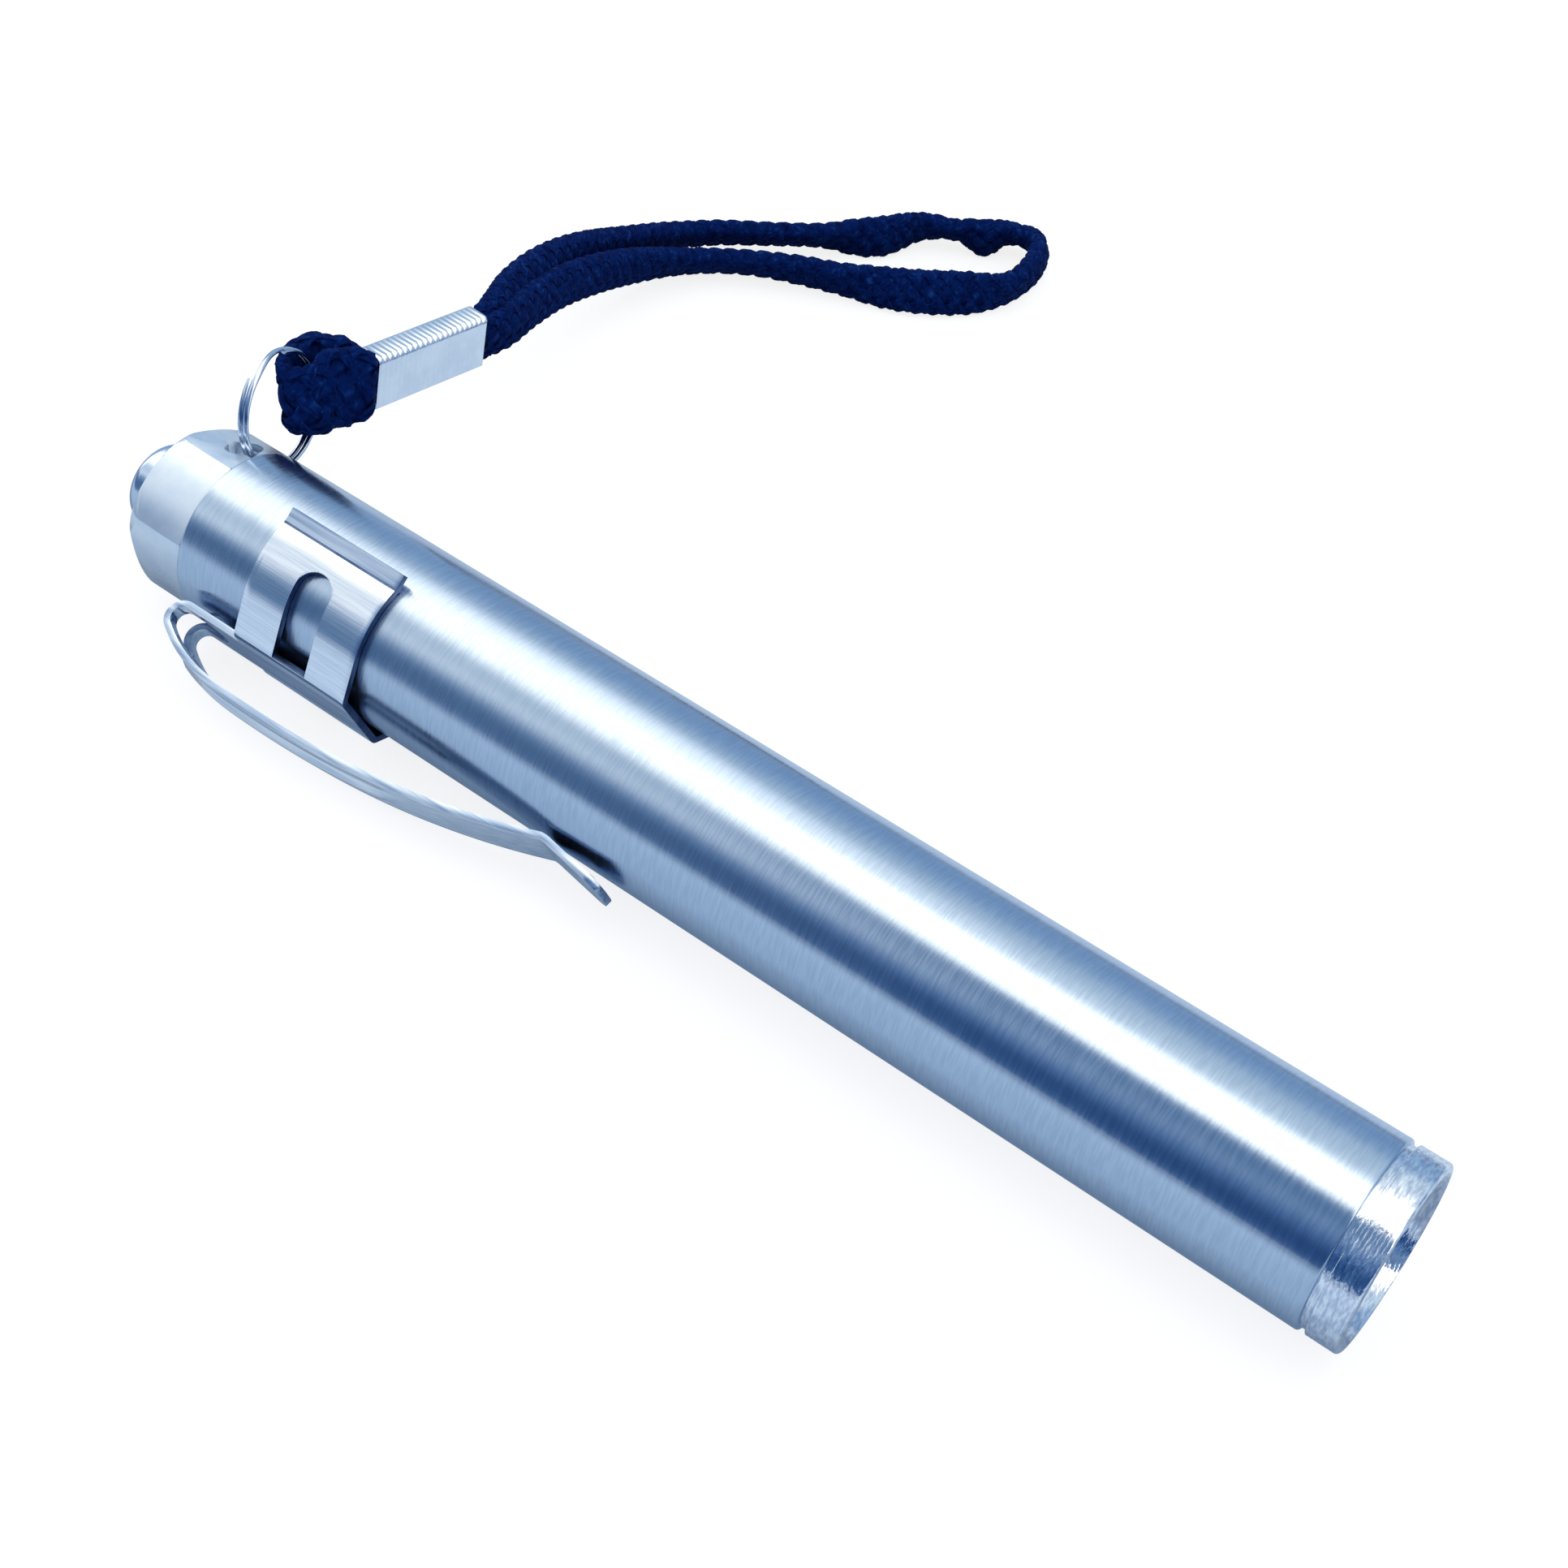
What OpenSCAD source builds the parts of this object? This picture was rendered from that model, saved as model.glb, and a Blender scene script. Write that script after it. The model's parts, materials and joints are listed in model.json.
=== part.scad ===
// Pocket penlight: steel barrel, six-sided tail cap with push button, spring clip, key ring and wrist loop.
// Millimetres. X runs along the barrel to the lamp end, Z is up, the origin is on the axis at mid barrel.

/* [Barrel] */
// Outside diameter of the barrel tube
barrel_d = 13; // [12.5:0.1:14]
// Length of the barrel tube
barrel_len = 91.3; // [91:0.5:96]
// Wall of the tube along the battery
barrel_wall = 0.8; // [0.6:0.05:0.9]
// Depth of the threaded mouth at the tail
tail_thread_len = 6.6; // [6.4:0.1:7.4]
// Depth of the plain socket at the lamp end
head_socket_len = 6.3; // [5:0.1:6.6]
// Wall of the tube round both sockets
socket_wall = 0.55; // [0.45:0.05:0.6]

/* [Lamp end] */
// Length of the bezel that shows
bezel_len = 2.6; // [2.3:0.1:3.6]
// Step of the bezel below the barrel's surface
bezel_step = 0.05; // [0.03:0.01:0.2]
// Radius of the bezel's front rounding
bezel_round = 0.3; // [0.2:0.05:0.5]
// Width of the flat ring on its front
front_w = 0.2; // [0.15:0.05:0.4]
// Depth of the cone inside its mouth
cone_len = 1.7; // [1:0.1:1.8]
// Width of the lip that holds the lens
lip_w = 0.45; // [0.4:0.05:0.8]
// Depth of the lens's seal behind the bezel's front
lip_len = 2.2; // [0.8:0.1:2.4]
// Width of the groove at the bezel's seam
groove_w = 0.45; // [0.2:0.05:0.5]
// Depth of that groove
groove_depth = 0.25; // [0.1:0.05:0.3]
// Thickness of the lens
lens_len = 1.2; // [1:0.1:1.4]
// Thickness of the seal between lens and lip
gasket_d = 0.4; // [0.3:0.05:0.5]
// Axial length of the reflector
reflector_len = 7.4; // [7:0.1:8.8]
// Radius of the reflector's throat
throat_r = 2.65; // [2.6:0.01:2.8]
// Radius of the lamp's round body
led_r = 2.5; // [2.4:0.01:2.54]
// Length of the lamp holder
holder_len = 11.5; // [11:0.1:12.5]
// Thickness of the driver board
board_len = 1; // [0.8:0.1:1.2]

/* [Battery] */
// Gap round the cell in the tube
cell_gap = 0.45; // [0.4:0.05:0.7]
// Length of the cell with its stud
cell_len = 44.5; // [43.5:0.1:44.5]
// Radius of the cell's stud
stud_r = 1.9; // [1.5:0.1:2.2]
// Height of the stud
stud_len = 0.8; // [0.6:0.1:1]
// Thickness of the cell's jacket
jacket_wall = 0.1; // [0.08:0.01:0.15]

/* [Tail cap] */
// Length of the cap that shows
cap_len = 5.7; // [5.6:0.1:6.6]
// Radius of the rounding at the cap's back
cap_round = 1.5; // [1.3:0.1:2.4]
// Length of the threaded spigot
spigot_len = 6; // [5.8:0.1:6.2]
// Radial clearance of the spigot in the barrel
thread_gap = 0.05; // [0.03:0.01:0.1]
// Thickness of the cap's back wall
back_wall = 1.2; // [1:0.1:1.3]
// Section of the sealing ring
seal_d = 1; // [0.8:0.05:1.1]
// Width of the ring that holds the switch
retainer_w = 0.95; // [0.93:0.01:1.05]

/* [Push button] */
// Width of the flange that keeps the button in
flange_w = 0.55; // [0.5:0.05:0.8]
// Height of the button above the cap
button_proud = 3.2; // [2.5:0.1:3.6]
// Travel of the button
button_travel = 1.5; // [1.2:0.1:1.6]
// Radial clearance of the button in the cap
button_gap = 0.1; // [0.06:0.01:0.12]
// Radius of the button's edge
button_round = 1; // [0.6:0.1:1.3]
// Wall of the switch housing round the button's spring
housing_wall = 0.6; // [0.55:0.05:0.75]

/* [Clip] */
// Thickness of the clip's sheet
clip_t = 0.5; // [0.4:0.05:0.6]
// Gap between the clip and the barrel
clip_gap = 0.05; // [0.03:0.01:0.08]
// Distance of the band from the tail seam
band_start = 7; // [6.5:0.1:10]
// Length of the band along the barrel
band_len = 10.4; // [9:0.1:12]
// Angle from the clip's middle to the fold of the band
fold_angle = 48; // [45:1:52]
// Angle from the clip's middle to the free edge
wrap_angle = 96; // [92:1:110]
// Length of the turned-out lip on the free edge
lip_reach = 1.3; // [0.8:0.1:1.5]
// Angle by which the lip turns out
lip_flare = 22; // [10:1:30]
// Width of the strip at the bend
strip_w = 4.6; // [4.2:0.1:5]
// Width of the arm at its contact line
arm_w = 4; // [3.6:0.1:4.4]
// Width of the window in the bend
bend_slot_w = 2.4; // [2:0.1:2.6]
// Width of the window in each side of the band
side_slot_w = 3.1; // [2.5:0.1:3.5]
// Radius of the bend's outer face
bend_r = 1.3; // [1.1:0.1:1.6]
// Height of the bow over the barrel's axis
bow_top = 10.9; // [10.6:0.1:11]
// Distance of the contact line from the tail seam
contact_x = 34.7; // [33:0.1:38]
// Distance of the tip from the tail seam
tip_x = 40.2; // [39:0.1:43]
// Width of the pressed rib
rib_w = 1.7; // [1.2:0.1:2]
// Height of the pressed rib
rib_h = 0.3; // [0.2:0.05:0.4]
// Direction of the clip below the horizontal
clip_down = 28; // [20:1:30]

/* [Key ring] */
// Radius of the ring at the middle of its wire
ring_r = 4.4; // [4.3:0.1:4.5]
// Thickness of the ring's wire
ring_wire = 0.55; // [0.45:0.05:0.55]
// Radius of the hole in the cap's corner
hole_r = 0.9; // [0.88:0.01:0.93]
// Distance of the hole's axis from the barrel's surface
hole_in = 1.35; // [1.3:0.01:1.4]
// Distance of the hole from the tail seam
hole_back = 2.4; // [2:0.1:2.6]
// Direction of the ring's corner above the horizontal
ring_up = 38.5; // [38:0.5:39]
// Lean of the ring towards the tail
ring_lean = 14; // [10:1:20]

/* [Strap] */
// Length of the ferrule
ferrule_len = 12.1; // [11.5:0.1:12.5]
// Width of the ferrule
ferrule_w = 4.5; // [4.1:0.1:4.7]
// Thickness of the ferrule
ferrule_t = 2.4; // [2.2:0.1:2.6]
// Wall of the ferrule
ferrule_wall = 0.35; // [0.3:0.05:0.4]

/* [Hidden] */
$fn = 72;

// Fit used where one still piece seats in another
seat = 0.03;
eps = 0.01;

// Places along the axis
tail_x = -barrel_len / 2;
head_x = barrel_len / 2;
front_x = head_x + bezel_len;
barrel_r = barrel_d / 2;
bore_r = barrel_r - barrel_wall;
socket_r = barrel_r - socket_wall;
lip_x = front_x - lip_len;
lens_front = lip_x - gasket_d;
lens_back = lens_front - lens_len;
lens_r = socket_r - 0.6;
bezel_bore_r = lens_r + seat;
window_r = lens_r - lip_w;
reflector_back = lens_back - reflector_len;
reflector_mouth_r = lens_r - 0.45;
holder_r = bore_r - seat;
holder_back = reflector_back - holder_len;
led_flange_len = 1;
led_flange_r = led_r + 0.45;
led_body_len = 5.7;
led_flange_back = reflector_back - led_body_len;
led_dome = 3;
led_tip = reflector_back + led_dome;
board_front = led_flange_back - 0.8;
board_back = board_front - board_len;
board_r = holder_r - 0.45;
lead_r = 0.25;
lead_gap = 1.27;
coil_size = [0.9, 2.8, 1.3];
chip_size = [0.7, 0.9, 1.3];
front_spring_r = 2.5;
front_spring_tip_r = 1.3;

// The tail
cap_back = tail_x - cap_len;
hole_out = barrel_r - hole_in;
hole_flare = 0.65;
cap_r = barrel_r - 0.04;
spigot_end = tail_x + spigot_len;
spigot_r = socket_r - thread_gap;
seal_x = tail_x + 1.2;
seal_mid_r = socket_r - seat - seal_d / 2;
mouth_r = spigot_r - 1;
switch_r = mouth_r - retainer_w;
mouth_len = 2;
mouth_x = spigot_end - mouth_len;
flange_len = 0.8;
flange_back = cap_back + back_wall + 0.05;
flange_front = flange_back + flange_len;
flange_r = switch_r - 0.1;
button_r = flange_r - flange_w;
plunger_r = switch_r - housing_wall - 1;
housing_back = flange_front + button_travel + 0.2;
housing_shoulder = housing_back + 3.4;
housing_front = spigot_end + 2;
retainer_len = 1;
plunger_front = housing_shoulder + 2;
bridge_len = 0.3;
bridge_r = plunger_r - 0.1;
contact_x0 = plunger_front + bridge_len + button_travel + 0.1;
contact_len = 0.3;
ring_w = 0.75;
pin_r = 0.7;
pin_head = 0.2;
plate_len = 0.4;
plate_r = 3.6;
spring_wire = 0.5;
tail_spring_len = 11.2;
tail_spring_r = 3.1;
tail_spring_tip_r = 2.5;
cell_back = housing_front + plate_len + tail_spring_len;
cell_front = cell_back + cell_len;
jacket_r = bore_r - cell_gap;

// The clip, in a frame whose Z axis points away from the barrel through the clip's middle
clip_roll = 90 + clip_down;
clip_in = barrel_r + clip_gap;
clip_out = clip_in + clip_t;
leaf_in = clip_in + 0.05;
leaf_out = leaf_in + clip_t;
fold_r = 0.4;
slot_x = tail_x + band_start + band_len / 2;
bend_x = tail_x + 0.75 + bend_r;
bend_z = leaf_in + bend_r;
bend_end = 122;
top_x = tail_x + 10.5;
rib_start = 2.4;
rib_end = 24;
split_gap = 0.06;

// The ferrule hangs from the ring and dips towards the surface under the barrel
ferrule_near = [tail_x - 2.57, 15.17, 4.85];
ferrule_dip = 8;

// Route of the wrist loop: x, y, height of the middle, width, thickness, lean of the width
wrist_route = [
  [-48.6, 24.5, 3.5, 3.2, 0.7, 0], [-48.6, 27, 3.1, 3.2, 0.8, 0], [-49.6, 30.4, 3, 3.4, 1.4, 0],
  [-51.2, 34.4, 2.5, 3.4, 1.5, -10], [-52.8, 39.5, 1.6, 3.4, 1.5, -15], [-54.2, 45.7, -0.1, 3.4, 1.5, -20],
  [-55, 53, -2.4, 3.5, 1.6, -30], [-54.8, 59.8, -4.5, 3.6, 1.6, -35], [-52.6, 64.6, -5.1, 3.6, 1.6, -40],
  [-49, 68.2, -5.1, 3.6, 1.6, -45], [-45.6, 71.6, -5.1, 3.6, 1.6, -40], [-42.1, 75.1, -5.1, 3.6, 1.6, 10],
  [-40.2, 79.6, -5.1, 3.6, 1.6, -30], [-37.7, 81.9, -5.2, 3.5, 1.6, -50], [-35, 82.6, -5.1, 3.6, 1.6, -5],
  [-33.8, 85, -5.1, 3.5, 1.6, -45], [-31.7, 85.6, -5.1, 3.5, 1.6, -40], [-30, 84, -5.1, 3.6, 1.6, -10],
  [-28.9, 80.6, -5.1, 3.6, 1.6, 5], [-29, 76.2, -5.1, 3.6, 1.6, 15], [-31.6, 72.5, -5, 3.8, 1.6, -20],
  [-35.4, 69.2, -5, 3.7, 1.6, -15], [-39.8, 67, -5.1, 3.6, 1.6, 20], [-43.6, 65.2, -5.1, 3.6, 1.6, 30],
  [-47.2, 63, -5.1, 3.6, 1.6, 40], [-50.3, 60.2, -5.1, 3.6, 1.6, 40], [-52.1, 55.5, -4.2, 3.6, 1.6, 30],
  [-52.2, 48.6, -2, 3.5, 1.6, 15], [-51.3, 41.5, 0.3, 3.4, 1.5, 5], [-49.8, 35.5, 1.8, 3.4, 1.5, 0],
  [-48.3, 30.8, 2.6, 3.4, 1.4, 0], [-47.8, 27, 3.1, 3.2, 0.8, 0], [-47.8, 24.5, 3.5, 3.2, 0.7, 0]];

// Route of the small loop through the ring, in the same columns
loop_route = [
  [-48.64, 17.7, 4.45, 3.2, 0.7, 0], [-48.64, 15.7, 4.73, 3.2, 0.7, 0], [-48.72, 14.95, 4.84, 3.1, 0.75, 0],
  [-49.35, 14, 5.2, 5.5, 1.5, -4], [-50.2, 13.1, 5.45, 6.2, 1.6, -8], [-51.1, 12, 5.55, 6.2, 1.4, -11],
  [-51.3, 10.8, 5.4, 5.6, 1.4, -11], [-50.95, 9.7, 5.3, 5.4, 1.4, -8], [-49.85, 9, 5.3, 5.3, 1.4, 0],
  [-48.7, 9.6, 5.3, 5.4, 1.5, 8], [-48.35, 10.8, 5.4, 5.6, 1.5, 11], [-48.25, 12, 5.55, 6.2, 1.5, 11],
  [-47.7, 13.1, 5.45, 6.2, 1.6, 8], [-47.3, 14, 5.2, 5.5, 1.5, 4], [-47.72, 14.95, 4.84, 3.1, 0.75, 0],
  [-47.8, 15.7, 4.73, 3.2, 0.7, 0], [-47.8, 17.7, 4.45, 3.2, 0.7, 0]];
route_step = 2;
cord_sides = 8;

// A turned shape: each point is a radius and a place along X
module turned(points) rotate([0, 90, 0]) rotate_extrude() polygon(points);

// A round bar along X
module bar(r, x0, x1) translate([x0, 0, 0]) rotate([0, 90, 0]) cylinder(r = r, h = x1 - x0);

// A tube along X
module pipe(ro, ri, x0, x1) difference() {
  bar(ro, x0, x1);
  bar(ri, x0 - 1, x1 + 1);
}

// Points of an arc about a centre, from one angle to another
function arc(c, r, a0, a1, n) = [for (i = [0:n]) let (a = a0 + (a1 - a0) * i / n) c + r * [cos(a), sin(a)]];

function unit(v) = v / norm(v);
function flatten(lists) = [for (l = lists) each l];

// Closed skin over rings of points, all with the same count
module skin(rings, sides) {
  last = len(rings) - 1;
  polyhedron(points = flatten(rings), faces = concat(
    [for (k = [0:last - 1], s = [0:sides - 1]) each let (
      a = k * sides + s, b = k * sides + (s + 1) % sides, c = a + sides, d = b + sides)
      [[a, b, d], [a, d, c]]],
    [for (s = [1:sides - 2]) [0, s + 1, s]],
    [for (s = [1:sides - 2]) [last * sides, last * sides + s, last * sides + s + 1]]));
}

// One wound wire along X: radius r0 at x0, r1 at x1, closed by a flat turn at each end
coil_rings = 8;
coil_sides = 6;
function coil_point(x0, x1, r0, r1, turns, wire, u) =
  let (flat = 1 / (turns + 1.5),
    rise = min(1, max(0, (u - flat) / (1 - 2 * flat))),
    a = 360 * turns * u,
    r = r0 + (r1 - r0) * u,
    over = wire * 1.9 * (u < flat ? u / flat : 1),
    under = wire * 1.9 * (u > 1 - flat ? (u - 1 + flat) / flat : 0),
    span = x1 - x0 - wire - 3.8 * wire)
  [x0 + wire / 2 + over + rise * span + under, r * cos(a), r * sin(a)];
module coil(x0, x1, r0, r1, turns, wire) {
  n = turns * coil_rings;
  centres = [for (i = [0:n]) coil_point(x0, x1, r0, r1, turns, wire, i / n)];
  rings = [for (i = [0:n]) let (
      t = unit(centres[min(i + 1, n)] - centres[max(i - 1, 0)]),
      out = unit([0, centres[i].y, centres[i].z]),
      side = unit(cross(t, out)), up = cross(side, t))
    [for (s = [0:coil_sides - 1]) let (a = 360 * s / coil_sides)
      centres[i] + wire / 2 * (cos(a) * up + sin(a) * side)]];
  skin(rings, coil_sides);
  gaps = [for (i = [0:n], j = [0:n]) if (j - i >= coil_rings - 1) norm(centres[i] - centres[j]) - wire];
  echo("least gap of the coil to itself", min(gaps));
}

// Flat cord swept along a route: the width stands upright, the thickness lies across
function mix(a, b, c, d, u) = 0.5 * ((2 * b) + (c - a) * u + (2 * a - 5 * b + 4 * c - d) * u * u
  + (3 * b - a - 3 * c + d) * u * u * u);
function smooth_route(p, k) = let (n = len(p) - 1) concat(
  [for (i = [0:n - 1], j = [0:k - 1]) mix(p[max(i - 1, 0)], p[i], p[i + 1], p[min(i + 2, n)], j / k)],
  [p[n]]);
module flat_cord(route) {
  p = smooth_route(route, route_step);
  n = len(p) - 1;
  at = [for (q = p) [q[0], q[1], q[2]]];
  rings = [for (i = [0:n]) let (
      t = unit(at[min(i + 1, n)] - at[max(i - 1, 0)]),
      side = unit(cross([0, 0, 1], t)), up = cross(t, side), lean = p[i][5],
      wide = cos(lean) * up + sin(lean) * side, thin = cos(lean) * side - sin(lean) * up)
    [for (s = [0:cord_sides - 1]) let (a = 360 * (s + 0.5) / cord_sides)
      at[i] + (p[i][4] / 2 * cos(a) * thin + p[i][3] / 2 * sin(a) * wide) / cos(180 / cord_sides)]];
  skin(rings, cord_sides);
}

// Barrel: one steel tube, thinned at both mouths
module barrel_tube() color("silver") difference() {
  turned([[0, tail_x], [barrel_r - 0.1, tail_x], [barrel_r, tail_x + 0.1], [barrel_r, head_x - 0.1],
    [barrel_r - 0.1, head_x], [0, head_x]]);
  bar(bore_r, tail_x - 1, head_x + 1);
  bar(socket_r, tail_x - 1, tail_x + tail_thread_len);
  bar(socket_r, head_x - head_socket_len, head_x + 1);
}

// Bezel: polished ring with a spigot pressed into the barrel and a lip over the lens
module head_bezel() color("gainsboro") {
  r = barrel_r - bezel_step;
  back = head_x - head_socket_len + 0.3;
  turned(concat(
    [[bezel_bore_r, back], [socket_r - seat, back], [socket_r - seat, head_x],
      [r - groove_depth, head_x], [r - groove_depth, head_x + groove_w], [r, head_x + groove_w + 0.1]],
    arc([r - bezel_round, front_x - bezel_round], bezel_round, 0, 90, 6),
    [[r - bezel_round - front_w, front_x], [window_r, front_x - cone_len], [window_r, lip_x],
      [bezel_bore_r, lip_x]]));
}

module lens() color("lightcyan", 0.5) bar(lens_r, lens_back, lens_front);

module lens_gasket() color("dimgray")
  rotate([0, 90, 0]) translate([0, 0, lens_front + gasket_d / 2])
    rotate_extrude() translate([lens_r - gasket_d / 2 - 0.05, 0]) circle(d = gasket_d, $fn = 24);

// Reflector: a parabolic cup, its throat round the lamp
cup_n = 12;
cup_wall = 0.35;
function cup_r(u) = sqrt(throat_r * throat_r * (1 - u) + reflector_mouth_r * reflector_mouth_r * u);
module reflector() color("whitesmoke") turned(concat(
  [for (i = [0:cup_n]) [cup_r(i / cup_n), reflector_back + reflector_len * i / cup_n]],
  [[lens_r - seat, lens_back], [lens_r - seat, lens_back - 0.6]],
  [for (i = [cup_n - 1:-1:0]) [cup_r(i / cup_n) + cup_wall, reflector_back + reflector_len * i / cup_n]]));

// Lamp: a round clear diode with a flange and a domed nose
module led_lamp() color("lightyellow") turned(concat(
  [[0, led_flange_back], [led_flange_r, led_flange_back],
    [led_flange_r, led_flange_back + led_flange_len], [led_r, led_flange_back + led_flange_len]],
  arc([0, led_tip - led_r], led_r, 0, 90, 10)));

module led_leads() color("lightgray") for (y = [-lead_gap, lead_gap])
  translate([0, y, 0]) bar(lead_r, board_back - 0.4, led_flange_back);

// Holder: a brass sleeve that seats the lamp and the board, pressed into the barrel
module lamp_holder() color("darkkhaki") difference() {
  bar(holder_r, holder_back, reflector_back);
  bar(led_r + 0.04, holder_back - 1, reflector_back + 1);
  bar(led_flange_r + 0.05, holder_back - 1, led_flange_back + led_flange_len);
  bar(board_r + seat, holder_back - 1, board_front);
}

module driver_board() color("seagreen") difference() {
  bar(board_r, board_back, board_front);
  for (y = [-lead_gap, lead_gap]) translate([0, y, 0]) bar(lead_r + 0.05, board_back - 1, board_front + 1);
}

// Coil and chip on the back of the board, outside the spring
module board_parts() color("dimgray") {
  translate([board_back - coil_size.x, -coil_size.y / 2, board_r - 0.8 - coil_size.z]) cube(coil_size);
  for (y = [-chip_size.y, chip_size.y])
    translate([board_back - chip_size.x, y - chip_size.y / 2, 0.8 - board_r]) cube(chip_size);
}

module front_spring() color("gold")
  coil(cell_front, board_back, front_spring_tip_r, front_spring_r, 5, spring_wire);

// Cell: can, stud and jacket
module cell_can() color("silver") turned([[0, cell_back], [jacket_r - 0.6, cell_back],
  [jacket_r - jacket_wall, cell_back + 0.5], [jacket_r - jacket_wall, cell_front - stud_len - 0.5],
  [jacket_r - 0.6, cell_front - stud_len], [0, cell_front - stud_len]]);

module cell_stud() color("gainsboro") turned([[0, cell_front - stud_len], [stud_r, cell_front - stud_len],
  [stud_r, cell_front - 0.15], [stud_r - 0.15, cell_front], [0, cell_front]]);

module cell_jacket() color("darkslategray")
  pipe(jacket_r, jacket_r - jacket_wall, cell_back + 0.6, cell_front - stud_len - 0.6);

// Clip frame
module on_clip() rotate([clip_roll, 0, 0]) children();

// Half width of the leaf at a height, on the fold's tangent
function leaf_half(r, h) = (r - h * cos(fold_angle)) / sin(fold_angle);

// Filled section of the band: the round wrap and the two flat sides that run to the leaf
module band_fill(r, h, round_r) {
  y = leaf_half(r, h) - round_r * tan((90 - fold_angle) / 2);
  side = r * [sin(fold_angle), cos(fold_angle)];
  circle(r = r);
  polygon(concat([[0, 0], side], arc([y, h - round_r], round_r, 90 - fold_angle, 90, 5),
    arc([-y, h - round_r], round_r, 90, 90 + fold_angle, 5), [[-side.x, side.y]]));
}

// Section of the band, open below, with a turned-out lip on each free edge
module band_section() {
  reach = barrel_d;
  edge = [sin(wrap_angle), cos(wrap_angle)];
  difference() {
    band_fill(clip_out, leaf_out, fold_r + clip_t);
    band_fill(clip_in, leaf_in, fold_r);
    polygon([[0, 0], reach * edge, [reach, -2 * reach], [-reach, -2 * reach],
      [-reach * edge.x, reach * edge.y]]);
  }
  for (side = [0, 1]) mirror([side, 0]) translate((clip_in + clip_out) / 2 * edge)
    rotate(lip_flare - wrap_angle) translate([-0.1, -clip_t / 2]) square([lip_reach + 0.1, clip_t]);
}

// Window in each side of the band, round at its upper end
module side_slot(side) mirror([0, side > 0 ? 0 : 1, 0]) translate([slot_x, 0, 0]) {
  half = side_slot_w / 2;
  top = wrap_angle - 26;
  rotate([-26, 0, 0]) rotate([0, -90, 0]) rotate_extrude(angle = top - 26)
    translate([barrel_r - 1, -half]) square([4, side_slot_w]);
  rotate([-top, 0, 0]) translate([0, 0, barrel_r - 1]) cylinder(r = half, h = 4);
}

// Outer face of the arm over the barrel's axis, at a place along X
function arm_rise(x) = x < top_x
  ? bow_top - (bow_top - bend_z - bend_r * sin(bend_end)) * pow((top_x - x) / (top_x - arm_x0), 3)
  : bow_top - (bow_top - leaf_out - 0.02) * pow((x - top_x) / (arm_x1 - top_x), 2.2);

// Outer face of bend and arm as points, then the tip's flare
arm_n = 18;
arm_x0 = bend_x + bend_r * cos(bend_end);
arm_x1 = tail_x + contact_x;
function arm_face() = [for (i = [1:arm_n]) let (x = arm_x0 + (arm_x1 - arm_x0) * i / arm_n) [x, arm_rise(x)]];
tip_face = [[arm_x1 + 1, leaf_out + 0.12], [tail_x + tip_x, leaf_out + 0.8]];

// Band of the given thickness that lies under a line of points
function under(p, t) = let (n = len(p) - 1)
  [for (i = [n:-1:0]) let (d = unit(p[min(i + 1, n)] - p[max(i - 1, 0)])) p[i] + t * [d[1], -d[0]]];
module ribbon(p, t) polygon(concat(p, under(p, t)));

// Extrudes a shape drawn in X and Z across the clip
module across(w) rotate([90, 0, 0]) translate([0, 0, -w / 2]) linear_extrude(w) children();

// Plan of the arm: a taper with a round tip
module arm_plan() {
  tip = 1.4;
  end = tail_x + tip_x;
  hull() {
    for (s = [-1, 1]) translate([end - tip, s * (arm_w / 2 - tip)]) circle(r = tip, $fn = 32);
    translate([tail_x - 1, -strip_w / 2]) square([4, strip_w]);
  }
}

// Window in the bend, one box on the leaf side and one on the arm side
module bend_slot(end_x, z0, z1) translate([0, 0, z0]) linear_extrude(z1 - z0) {
  translate([tail_x - 1, -bend_slot_w / 2]) square([end_x - tail_x + 1 - bend_slot_w / 2, bend_slot_w]);
  translate([end_x - bend_slot_w / 2, 0]) circle(d = bend_slot_w);
}

module clip_band() color("lightsteelblue") on_clip() {
  difference() {
    translate([tail_x + band_start, 0, 0]) rotate([90, 0, 90]) linear_extrude(band_len) band_section();
    for (side = [-1, 1]) side_slot(side);
  }
  difference() {
    across(strip_w) {
      translate([bend_x, leaf_in]) square([tail_x + band_start + 1 - bend_x, clip_t]);
      intersection() {
        translate([bend_x, bend_z]) difference() {
          circle(r = bend_r);
          circle(r = bend_r - clip_t);
        }
        translate([bend_x - 2 * bend_r, bend_z - 2 * bend_r]) square([2 * bend_r, 2 * bend_r - split_gap / 2]);
      }
    }
    bend_slot(tail_x + 4.6, bend_z - 3, bend_z);
  }
}

module clip_arm() color("lightsteelblue") on_clip() difference() {
  intersection() {
    union() {
      across(strip_w) difference() {
        ribbon(concat(arc([bend_x, bend_z], bend_r, 180, bend_end, 8), arm_face(), tip_face), clip_t);
        translate([bend_x - 2 * bend_r, bend_z - 2 * bend_r]) square([2 * bend_r, 2 * bend_r + split_gap / 2]);
      }
      across(rib_w) ribbon(concat([[tail_x + rib_start, arm_rise(tail_x + rib_start)]],
        [for (i = [1:10]) let (x = tail_x + rib_start + (rib_end - rib_start) * i / 11)
          [x, arm_rise(x) + rib_h]],
        [[tail_x + rib_end, arm_rise(tail_x + rib_end)]]), clip_t / 2 + rib_h / 2);
    }
    linear_extrude(4 * barrel_d) arm_plan();
  }
  bend_slot(tail_x + 3.2, bend_z, bend_z + 4);
}

// Sealing ring of the cap
module cap_seal() color("dimgray") rotate([0, 90, 0]) translate([0, 0, seal_x])
  rotate_extrude() translate([seal_mid_r, 0]) circle(d = seal_d, $fn = 32);

// Frame of the ring's hole: X along the barrel, Y outwards through the corner, Z along the hole
module at_hole() rotate([ring_up, 0, 0]) translate([tail_x - hole_back, hole_out, 0]) children();

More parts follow.
